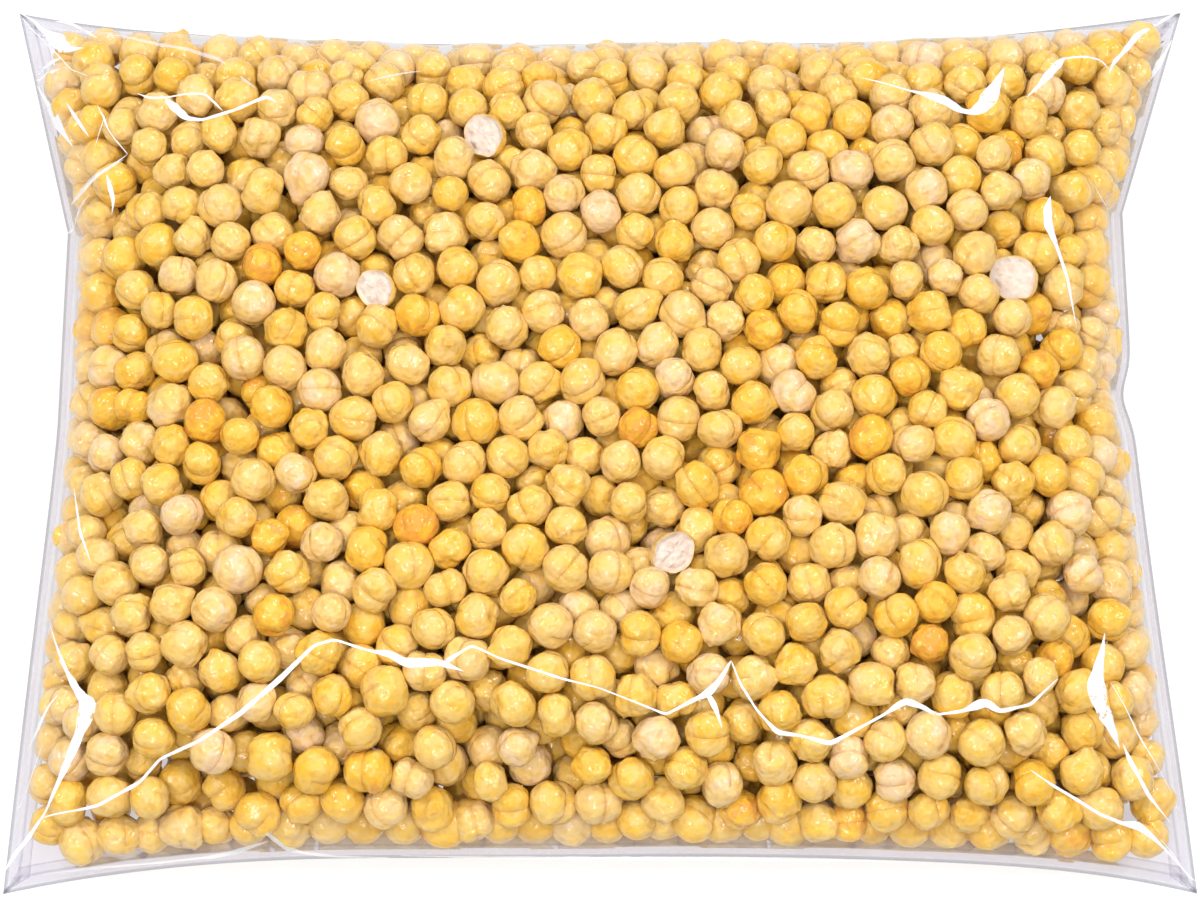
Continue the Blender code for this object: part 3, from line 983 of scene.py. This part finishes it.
# %% [markdown]
# The film
#
# The bag is one tube of polypropylene film, pulled tight by what it holds: it touches the
# chickpeas at their tops and spans the hollows between them like the skin of a drum. That is
# how it is made here. The grid starts a little above the chickpeas, and round after round
# each point moves to the mean of its four neighbours, but never into a chickpea. Near the
# edges nothing holds the film up, so it runs straight down to the weld and forms the ears by
# itself. The lower sheet is made the same way, against the floor.

# %% Stretch the film
STRETCH_ROUNDS = 120
EASE_ROUNDS = 10
START_GAP = 0.0004                  # how far over the smooth sheet the film starts
padded_radii = PROUDEST * radii + FILM_CLEARANCE


def eased(height):
    """Every inner point moved to the mean of its four neighbours."""
    softer = height.copy()
    softer[1:-1, 1:-1] = (height[2:, 1:-1] + height[:-2, 1:-1]
                          + height[1:-1, 2:] + height[1:-1, :-2]) / 4
    return softer


def stretch(start, side):
    """The upper (1) or lower (-1) sheet, pulled tight over the chickpeas."""
    tops, _ = outermost(grid_x.ravel(), grid_y.ravel(), padded_radii, side)
    blocked = (side * tops).reshape(seam.shape)
    height = np.where(free, np.maximum(side * start, blocked), side * seam)
    for _ in range(STRETCH_ROUNDS):
        height = np.where(free, np.maximum(eased(height), blocked), height)
        if side < 0:
            height = np.minimum(height, 0.0)
    for _ in range(EASE_ROUNDS):
        height = np.where(free, eased(height), height)
    return side * height


film_top = stretch(top_sheet(grid_u, grid_v) + START_GAP, 1)
film_bottom = stretch(bottom_sheet(grid_u, grid_v), -1)
print("film rises to", round(float(film_top.max()) * 1000, 1), "mm")

# %% [markdown]
# From heights to film
#
# The two sheets share the points along their outer edge, so together they are one closed skin.
# The creases lie on the film, so they ask how high it is at any place: between
# grid points the height is blended from the four corners of the cell.

# %% Build the film


def film_height(x, y):
    """Height of the upper film at a place on the plan, between grid points."""
    u, v = unit_place(np.asarray(x), np.asarray(y))
    column = (u / reach_u + 1) / 2 * (FILM_COLUMNS - 1)
    row = (v / reach_v + 1) / 2 * (FILM_ROWS - 1)
    left = np.clip(np.floor(column).astype(int), 0, FILM_COLUMNS - 2)
    front = np.clip(np.floor(row).astype(int), 0, FILM_ROWS - 2)
    along, back = column - left, row - front
    near = film_top[front, left] * (1 - along) + film_top[front, left + 1] * along
    far = film_top[front + 1, left] * (1 - along) + film_top[front + 1, left + 1] * along
    return near * (1 - back) + far * back


def film_mesh():
    """Both sheets as one closed skin, joined at their outer edge."""
    count = FILM_COLUMNS * FILM_ROWS
    order = np.arange(count).reshape(FILM_ROWS, FILM_COLUMNS)
    upper = np.stack([grid_x, grid_y, film_top], axis=2).reshape(-1, 3)
    lower = np.stack([grid_x, grid_y, film_bottom], axis=2).reshape(-1, 3)
    squares = np.stack([order[:-1, :-1], order[:-1, 1:], order[1:, 1:], order[1:, :-1]], axis=2)
    squares = squares.reshape(-1, 4)
    rim = np.ones(order.shape, dtype=bool)
    rim[1:-1, 1:-1] = False
    below = np.where(rim, order, order + count).ravel()
    faces = np.concatenate([squares, below[squares][:, ::-1]])
    points = np.concatenate([upper, lower])
    used = np.unique(faces)
    renumbered = np.zeros(len(points), dtype=int)
    renumbered[used] = np.arange(len(used))
    return mesh_from_arrays("clear_film", points[used], renumbered[faces])


def let_light_past(thing):
    """Film this clear casts no shadow and hardly shows in a reflection."""
    thing.visible_shadow = False
    thing.visible_diffuse = False
    thing.visible_glossy = False


film = film_mesh()
let_light_past(film)
print("film has", len(film.data.polygons), "squares")

# %% [markdown]
# The welded edge
#
# A hot bar melts the two sheets into one narrow band that shows as a pale grey line with a
# darker rim. It is a ribbon about two millimetres wide and thicker than the film. It follows
# the outline, and rises and falls with the height that the film has there.

# %% Lay the weld round the edge
WELD_WIDTH = 0.0024
WELD_THICKNESS = 0.00050
WELD_STEPS = 240                    # along each side


def outline():
    """u and v along the four edges, once round."""
    side = np.linspace(-1, 1, WELD_STEPS, endpoint=False)
    u = np.concatenate([side, np.ones_like(side), -side, -np.ones_like(side)])
    v = np.concatenate([-np.ones_like(side), side, np.ones_like(side), -side])
    return u, v


def weld_mesh():
    """A closed ribbon of four corners in section, once round the bag."""
    u, v = outline()
    inset_u, inset_v = 1 - WELD_WIDTH / WAIST_LEFT, 1 - WELD_WIDTH / MIDDLE_FRONT
    inner_u = np.clip(u, -inset_u, inset_u) * np.where(np.abs(u) >= 1, inset_u, 1)
    inner_v = np.clip(v, -inset_v, inset_v) * np.where(np.abs(v) >= 1, inset_v, 1)
    outer_x, outer_y = plan_position(u, v)
    inner_x, inner_y = plan_position(inner_u, inner_v)
    middle, half = seam_height(u, v), WELD_THICKNESS / 2
    corners = [(outer_x, outer_y, middle - half), (outer_x, outer_y, middle + half),
               (inner_x, inner_y, middle + half), (inner_x, inner_y, middle - half)]
    rings = [np.stack(corner, axis=1) for corner in corners]
    count = len(u)
    faces = []
    for ring in range(4):
        here = np.arange(count) + ring * count
        there = np.arange(count) + (ring + 1) % 4 * count
        faces.append(np.stack([here, np.roll(here, -1), np.roll(there, -1), there], axis=1))
    thing = mesh_from_arrays("welded_edge", np.concatenate(rings), np.concatenate(faces))
    store(thing, "inward", np.repeat([0.0, 0.0, 1.0, 1.0], count))
    return thing


weld = weld_mesh()
let_light_past(weld)
print("weld has", len(weld.data.polygons), "squares")

# %% [markdown]
# Where the creases run
#
# Stiff film can't follow a heap of chickpeas without creasing, and each crease catches the lamps as a
# crisp line that swells to a wedge where two of them meet; here that line is a painted highlight,
# white in the crease's own material. Its route is read off the photograph as a few (column, row,
# width) pixels. Some folds stay round and only show as a faint painted sheen, so they are named apart.

# %% Name the creases
FRONT_CREASES = {
    "zigzag_left": [(42, 817, 2), (80, 809, 3), (98, 805, 4), (140, 782, 4), (160, 759, 3),
        (200, 742, 4), (240, 714, 5), (280, 680, 6), (315, 647, 4), (335, 641, 3), (370, 652, 3),
        (390, 655, 7), (405, 664, 10), (440, 664, 8), (464, 673, 1)],
    "zigzag_middle": [(445, 664, 5), (472, 647, 3), (500, 660, 3), (560, 680, 3), (600, 690, 2),
        (666, 716, 3), (690, 703, 4), (709, 694, 7), (721, 680, 7), (731, 662, 2)],
    "zigzag_spike": [(706, 693, 3), (715, 708, 8), (722, 730, 1)],
    "zigzag_right": [(731, 662, 2), (740, 685, 3), (757, 712, 3), (777, 734, 5), (800, 737, 3),
        (830, 745, 6), (852, 733, 4), (882, 717, 3), (905, 702, 8), (922, 708, 5), (936, 716, 3),
        (962, 712, 4), (985, 703, 10), (1000, 713, 4), (1030, 706, 4), (1058, 679, 1)],
    "left_wedge": [(50, 625, 1), (57, 648, 3), (66, 670, 5), (77, 690, 9), (88, 706, 17),
        (84, 722, 16), (76, 742, 12), (66, 764, 9), (55, 788, 5), (45, 812, 3), (28, 835, 6),
        (16, 853, 6), (4, 873, 1)],
    "left_ear_streak": [(60, 692, 1), (48, 707, 4), (38, 726, 6), (28, 752, 1)],
    "left_ear_line": [(42, 742, 1), (30, 775, 2), (17, 810, 1)],
    "right_wedge": [(1105, 632, 1), (1103, 648, 5), (1099, 666, 12), (1096, 684, 18),
        (1098, 700, 20), (1106, 716, 14), (1114, 732, 8), (1120, 748, 1)],
    "right_wedge_tail": [(1123, 742, 1), (1130, 760, 6), (1139, 778, 4), (1148, 795, 6),
        (1159, 808, 3), (1171, 821, 1)],
    "right_flank_line": [(1110, 682, 1), (1124, 704, 2), (1141, 737, 3), (1162, 774, 2),
        (1180, 811, 1)],
    "front_right_ear": [(1030, 771, 1), (1052, 786, 3), (1076, 800, 4), (1100, 815, 3),
        (1121, 823, 4), (1139, 825, 9), (1150, 834, 6), (1163, 846, 3), (1178, 861, 3),
        (1196, 882, 1)],
    "front_right_double": [(1160, 838, 1), (1176, 855, 2), (1193, 881, 1)],
}
BACK_CREASES = {
    "left_ear_thin": [(18, 13, 1), (40, 35, 2), (57, 53, 2), (72, 71, 2), (88, 78, 1)],
    "left_ear_patch": [(19, 13, 1), (34, 21, 3), (45, 29, 8), (56, 38, 15), (64, 47, 15),
        (72, 50, 7), (84, 49, 1)],
    "left_ear_loop": [(55, 22, 1), (68, 23, 4), (80, 28, 4), (90, 34, 5), (98, 39, 1)],
    "left_ear_arc": [(37, 75, 1), (42, 66, 3), (51, 60, 6), (62, 57, 1)],
    "left_ear_arc_low": [(36, 81, 1), (43, 74, 4), (53, 70, 4), (61, 68, 1)],
    "left_flank_streak": [(37, 86, 1), (46, 101, 4), (56, 119, 8), (64, 133, 4), (73, 147, 1)],
    "left_flank_tick": [(66, 102, 1), (73, 114, 4), (81, 126, 4), (89, 137, 1)],
    "left_flank_fork": [(97, 105, 1), (104, 118, 3), (108, 130, 2), (116, 141, 2), (128, 155, 2)],
    "left_flank_branch": [(104, 119, 2), (99, 134, 2), (95, 148, 1)],
    "left_fold": [(128, 155, 1), (108, 170, 3), (88, 187, 3), (74, 200, 1)],
    "left_fold_tail": [(107, 176, 1), (110, 188, 7), (114, 202, 4), (112, 216, 1)],
    "back_leaf_top": [(137, 94, 1), (150, 99, 4), (168, 98, 3), (186, 95, 3), (205, 95, 4),
        (215, 104, 3), (223, 112, 1)],
    "back_leaf_low": [(165, 99, 3), (176, 109, 11), (187, 119, 7), (202, 121, 4), (216, 117, 4),
        (236, 111, 5), (255, 103, 4), (267, 98, 5), (277, 104, 1)],
    "back_right_wedge": [(862, 80, 1), (882, 85, 3), (906, 92, 3), (926, 97, 7), (946, 103, 11),
        (960, 112, 8), (972, 114, 8), (984, 107, 15), (991, 96, 16), (998, 82, 9), (1004, 69, 1)],
    "back_right_leaf": [(1026, 99, 1), (1038, 88, 5), (1048, 76, 9), (1057, 66, 11), (1063, 59, 4),
        (1085, 57, 3), (1101, 60, 3), (1110, 70, 1)],
    "right_ear_crease": [(1179, 12, 1), (1162, 21, 4), (1148, 30, 5), (1136, 37, 7), (1129, 46, 8),
        (1122, 54, 5), (1114, 62, 5), (1109, 73, 1)],
    "right_ear_patch": [(1172, 40, 1), (1166, 52, 4), (1158, 66, 7), (1149, 79, 1)],
    "right_flank_tick": [(1094, 189, 1), (1101, 201, 3), (1109, 210, 1)],
    "right_flank_wedge": [(1050, 198, 1), (1047, 212, 10), (1048, 228, 10), (1057, 251, 5),
        (1067, 281, 4), (1072, 306, 3), (1076, 328, 1)],
    "left_middle_streak": [(74, 488, 1), (77, 510, 3), (80, 532, 4), (91, 563, 1)],
}
SOFT_FOLDS = {
    "front_fold_right": [(258, 828, 1), (270, 835, 3), (284, 846, 4), (302, 853, 4), (335, 857, 3),
        (390, 858, 1)],
    "front_fold_left": [(268, 840, 1), (242, 849, 3), (214, 857, 4), (160, 863, 3), (100, 868, 3),
        (40, 874, 1)],
    "front_line": [(400, 856, 1), (520, 858, 4), (640, 859, 5), (760, 860, 4), (900, 862, 1)],
    "back_veil_left": [(100, 32, 1), (143, 42, 5), (163, 46, 7), (189, 50, 7), (217, 59, 6),
        (226, 65, 1)],
    "back_veil_short": [(240, 78, 1), (247, 84, 4), (256, 90, 1)],
    "back_veil_middle": [(367, 84, 1), (385, 79, 4), (404, 75, 4), (425, 72, 1)],
    "left_veil": [(124, 160, 1), (104, 173, 6), (84, 190, 8), (70, 208, 1)],
    "left_veil_low": [(90, 196, 1), (76, 214, 6), (66, 236, 1)],
}
print(len(FRONT_CREASES) + len(BACK_CREASES) + len(SOFT_FOLDS), "creases named")

# %% [markdown]
# Following a crease
#
# The marks are dropped on the bag as the odd chickpeas were, and filled in every millimetre
# or so. At each step the crease gets four corners: a foot on either side, the ridge between
# them, and one just below, so that it is a thin closed tent of film that rises and falls with
# the sheet under it.

# %% Follow a crease
PIXEL_SIZE = CAMERA_DISTANCE / FOCAL_PIXELS     # metres of the bag that one pixel spans
CREASE_STEP = 0.0008
CREASE_RISE = 0.30                  # height of a crease as a share of half its width
CREASE_LIFT = 0.00025               # how far its feet stand above the sheet
CREASE_RAGGED = 0.30                # how uneven its width is
CREASE_EASING = 1                   # rounds that soften its corners
CREASE_END = 0.00002                # half its width where it runs out
CREASE_CORNERS = ((1, 0.0), (0, CREASE_RISE), (-1, 0.0), (0, -0.1))     # aside and up
LINE_BLUR = 0.9                     # pixels by which the photograph widens a bright line
THINNEST = 0.5                      # pixels


def along_crease(marks):
    """Places and widths every step along a crease."""
    spots = np.array([[*on_bag(column, row), max(width - LINE_BLUR, THINNEST) * PIXEL_SIZE]
                      for column, row, width in marks])
    legs = np.linalg.norm(np.diff(spots[:, :2], axis=0), axis=1)
    run = np.concatenate([[0], np.cumsum(legs)])
    steps = np.linspace(0, run[-1], max(4, int(run[-1] / CREASE_STEP)))
    line = np.stack([np.interp(steps, run, spots[:, axis]) for axis in range(3)], axis=1)
    line[:, 2] *= rng.uniform(1 - CREASE_RAGGED, 1 + CREASE_RAGGED, len(line))
    for _ in range(CREASE_EASING):
        line[1:-1] = (line[:-2] + 2 * line[1:-1] + line[2:]) / 4
    return line


def crease_rings(marks):
    """Left foot, ridge, right foot and underside of a crease at every step."""
    spots = along_crease(marks)
    heading = np.gradient(spots[:, :2], axis=0)
    heading /= np.linalg.norm(heading, axis=1)[:, None]
    aside = np.stack([-heading[:, 1], heading[:, 0]], axis=1)
    half = spots[:, 2:] / 2
    half[[0, -1]] = CREASE_END
    rings = []
    for side, rise in CREASE_CORNERS:
        place = spots[:, :2] + side * aside * half
        height = film_height(place[:, 0], place[:, 1]) + CREASE_LIFT + rise * half[:, 0]
        rings.append(np.column_stack([place, height]))
    return np.stack(rings, axis=1), np.repeat(spots[:, 2], 4)


print("a pixel of the photograph spans", round(PIXEL_SIZE * 1000, 3), "mm of the bag")

# %% [markdown]
# One mesh of creases
#
# All the creases are one piece of the film's own plastic, so they become one mesh. Each keeps
# its width at every point, because wide ones let some of the chickpeas show through, and how
# strong its painted highlight is.

# %% Fold the creases
SOFT_SHARE = 0.35                   # how much of a crisp one's painted highlight a soft fold has


def crease_mesh(creases):
    """All the creases as one mesh; each is a closed tube with four corners in section."""
    points, faces, widths, glint_shares = [], [], [], []
    for name, marks in creases.items():
        rings, breadth = crease_rings(marks)
        widths.append(breadth)
        glint_shares.append(np.full(len(breadth), SOFT_SHARE if name in SOFT_FOLDS else 1.0))
        first = sum(len(block) for block in points)
        order = np.arange(len(rings) * 4).reshape(-1, 4) + first
        points.append(rings.reshape(-1, 3))
        for corner in range(4):
            after = (corner + 1) % 4
            faces.append(np.stack([order[:-1, corner], order[1:, corner], order[1:, after],
                                   order[:-1, after]], axis=1))
        faces.append(np.array([order[0], order[-1][::-1]]))
    thing = mesh_from_arrays("film_creases", np.concatenate(points), np.concatenate(faces))
    store(thing, "breadth", np.concatenate(widths) * 1000)
    store(thing, "painted_glint", np.concatenate(glint_shares))
    return thing


creases = crease_mesh(FRONT_CREASES | BACK_CREASES | SOFT_FOLDS)
let_light_past(creases)
print("creases have", len(creases.data.polygons), "squares")

# %% [markdown]
# Clear film
#
# Polypropylene film is clear, smooth and very slightly grey: it lets nearly all light straight
# through and mirrors a little of the room, more where it is seen at a slant. That is a
# Transparent shader mixed with a nearly sharp Glossy one by Fresnel. A Principled shader could
# bend the light too, but film a few hundredths of a millimetre thick doesn't.

# %% Make the film clear


def blend_surfaces(material, output, share, through, body):
    """See-through where the share is 0, and solid where it is 1."""
    mixed = add_node(material, "ShaderNodeMixShader", i0=share, i1=through.outputs["BSDF"],
                     i2=body.outputs["BSDF"])
    material.node_tree.links.new(mixed.outputs["Shader"], output.inputs["Surface"])


def clear_film():
    """Film that mirrors a little more where it turns away."""
    clear, output = new_material("clear_polypropylene_film")
    fresnel = add_node(clear, "ShaderNodeFresnel", IOR=1.30)
    through = add_node(clear, "ShaderNodeBsdfTransparent", Color=linear("#F5F3F7"))
    mirror = add_node(clear, "ShaderNodeBsdfGlossy", Roughness=0.05)
    blend_surfaces(clear, output, fresnel.outputs["Fac"], through, mirror)
    return clear


film.data.materials.append(clear_film())
print("the film is clear")

# %% [markdown]
# The weld's plastic
#
# The weld is the same plastic melted thick: cloudier, so some of it is a plain pale grey. The
# bar leaves fine lines along it, darker at the rim. They are a ramp over how far inward a
# point lies, which the ribbon keeps on its corners.

# %% Cloud the weld
WELD_LINES = [(0.00, "#CACAD1"), (0.10, "#D4D4DA"), (0.18, "#F6F6F8"), (0.48, "#F8F8FA"),
              (0.58, "#E2E2E7"), (0.66, "#F8F8FA"), (0.90, "#F8F8FA"), (1.00, "#E9E9ED")]
WELD_CLOUD = 0.18                   # how much of the weld is plain pale plastic


def cloudy_weld():
    """Melted film, with the lines that the bar left."""
    cloudy, output = new_material("melted_film_weld")
    lines = coloured_by(cloudy, stored(cloudy, "inward").outputs["Fac"], WELD_LINES)
    through = add_node(cloudy, "ShaderNodeBsdfTransparent", Color=lines)
    body = add_node(cloudy, "ShaderNodeBsdfPrincipled", Base_Color=linear("#F4F4F7"),
                    Roughness=0.25)
    blend_surfaces(cloudy, output, WELD_CLOUD, through, body)
    return cloudy


weld.data.materials.append(cloudy_weld())
print("the weld has", len(WELD_LINES), "tones across")

# %% [markdown]
# Creased film with a painted highlight
#
# Each crease is painted white: a painted highlight that stands for the glint a sharp fold of film
# catches from the lamps. A wide crease isn't white all over: it breaks up into gaps a millimetre
# or two wide, through which the chickpeas show. A cloud texture makes the gaps, and the wider
# the crease the more of it they take. Soft folds get only a faint painted sheen.

# %% Paint highlights on the creases
HOLE_SIZE = 0.0015                  # gaps where a wide crease turns clear again
HOLE_COVER, GLINT_COVER = 0.12, 0.95            # how much painted highlight covers the gaps, and the rest


def crease_highlight_paint():
    """Painted white highlight on the creases, with clear gaps in its wide parts."""
    creased, output = new_material("crease_white_highlight_paint")
    place = add_node(creased, "ShaderNodeTexCoord")
    breaks = add_node(creased, "ShaderNodeTexNoise", Vector=place.outputs["Object"],
                      Scale=1 / HOLE_SIZE, Detail=2.0, Roughness=0.6)
    torn = add_node(creased, "ShaderNodeMapRange", Value=stored(creased, "breadth").outputs["Fac"],
                    From_Min=1.0, From_Max=3.5, To_Min=0.26, To_Max=0.39)
    above = add_node(creased, "ShaderNodeMath", {"operation": "SUBTRACT"},
                     i0=breaks.outputs["Fac"], i1=torn.outputs["Result"])
    whole = add_node(creased, "ShaderNodeMapRange", Value=above.outputs["Value"], From_Min=0.0,
                     From_Max=0.05, To_Min=HOLE_COVER, To_Max=GLINT_COVER)
    cover = add_node(creased, "ShaderNodeMath", {"operation": "MULTIPLY"},
                     i0=whole.outputs["Result"], i1=stored(creased, "painted_glint").outputs["Fac"])
    through = add_node(creased, "ShaderNodeBsdfTransparent")
    # The white body is a painted highlight: the glint a sharp fold catches from the lamps.
    body = add_node(creased, "ShaderNodeBsdfPrincipled", Base_Color=linear("#FCFCFF"),
                    Roughness=0.2)
    blend_surfaces(creased, output, cover.outputs["Value"], through, body)
    return creased


creases.data.materials.append(crease_highlight_paint())
print("gaps in the creases are about", HOLE_SIZE * 1000, "mm wide")

# %% [markdown]
# The light table
#
# The bag lies on a white light table, which is why it has hardly any shadow: the table is grey
# paper that glows. It lies a hair under the film, because two faces in one place would
# flicker. It is part of the stage and not of the bag.

# %% Lay the light table
FLOOR_SIZE = 6.0
FLOOR_GAP = 0.0004                  # keeps the table just under the lower film
FLOOR_GLOW = 0.67

bpy.ops.object.select_all(action="DESELECT")
bpy.ops.mesh.primitive_plane_add(size=FLOOR_SIZE, location=(0, 0, -FLOOR_GAP))
floor = bpy.context.object
floor.name = "white_floor"
paper, paper_output = new_material("white_paper")
paper_surface = add_node(paper, "ShaderNodeBsdfPrincipled", Base_Color=linear("#8C8C8C"),
                         Roughness=0.9)
paper_surface.inputs["Emission Color"].default_value = (1.0, 1.0, 1.0, 1.0)
paper_surface.inputs["Emission Strength"].default_value = FLOOR_GLOW
paper.node_tree.links.new(paper_surface.outputs["BSDF"], paper_output.inputs["Surface"])
floor.data.materials.append(paper)
print("the table is", FLOOR_SIZE, "m wide")

# %% [markdown]
# The lamps
#
# A wide softbox overhead lights the bag evenly but shows in no reflection, so that nothing
# veils the chickpeas. Four small lamps stand round it, leaning in at about forty degrees. They
# put a soft glint on each chickpea and leave the gaps between them dark. Light linking flags
# them off the film, as a photographer would with a black card.

# %% Set the lamps
SOFTBOX_SIZE, SOFTBOX_POWER = 2.0, 28.5         # metres and watts
LAMP_SIZE, LAMP_POWER = 0.08, 2.7
LAMP_DISTANCE = 1.0
LAMPS = {"front_lamp": (36, 262), "left_lamp": (42, 175), "right_lamp": (42, 5),
         "back_lamp": (48, 80)}                 # lean from overhead and compass bearing


def add_light(name, lean, bearing, size, power):
    """A square lamp, leaning from overhead by so many degrees towards a compass bearing."""
    lean, bearing = math.radians(lean), math.radians(bearing)
    away = Vector((math.sin(lean) * math.cos(bearing), math.sin(lean) * math.sin(bearing),
                   math.cos(lean)))
    lamp = bpy.data.lights.new(name, "AREA")
    lamp.shape = "SQUARE"
    lamp.size = size
    lamp.energy = power
    thing = bpy.data.objects.new(name, lamp)
    bpy.context.scene.collection.objects.link(thing)
    thing.location = LAMP_DISTANCE * away
    thing.rotation_euler = away.to_track_quat("Z", "Y").to_euler()
    return thing


unflagged = bpy.data.collections.new("lit_by_the_lamps")
for thing in (*chickpeas, floor):
    unflagged.objects.link(thing)
add_light("soft_overhead", 5, 250, SOFTBOX_SIZE, SOFTBOX_POWER).visible_glossy = False
for name, (lean, bearing) in LAMPS.items():
    lamp = add_light(name, lean, bearing, LAMP_SIZE, LAMP_POWER)
    lamp.light_linking.receiver_collection = unflagged
print(1 + len(LAMPS), "lamps on")

# %% [markdown]
# The room
#
# The studio round the table is white but dim, so the gaps between the chickpeas stay dark. The
# Standard view shows the colours as they were mixed.

# %% Dim the room
ROOM_GLOW = 0.03

world = bpy.data.worlds.new("studio")
world.use_nodes = True
room = world.node_tree.nodes["Background"]
room.inputs["Color"].default_value = (1.0, 1.0, 1.0, 1.0)
room.inputs["Strength"].default_value = ROOM_GLOW
bpy.context.scene.world = world
bpy.context.scene.view_settings.view_transform = "Standard"
print("the room glows at", ROOM_GLOW)

# %% [markdown]
# Riding on the body
#
# Every piece rides on the imported body and stands in for the packed cushion, which is hidden.

# %% Ride and replace
for thing in chickpeas:
    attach(thing, "root")
    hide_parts("chickpea_bag")
for thing in (film, weld, creases):
    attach(thing, "root")
    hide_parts("chickpea_bag")
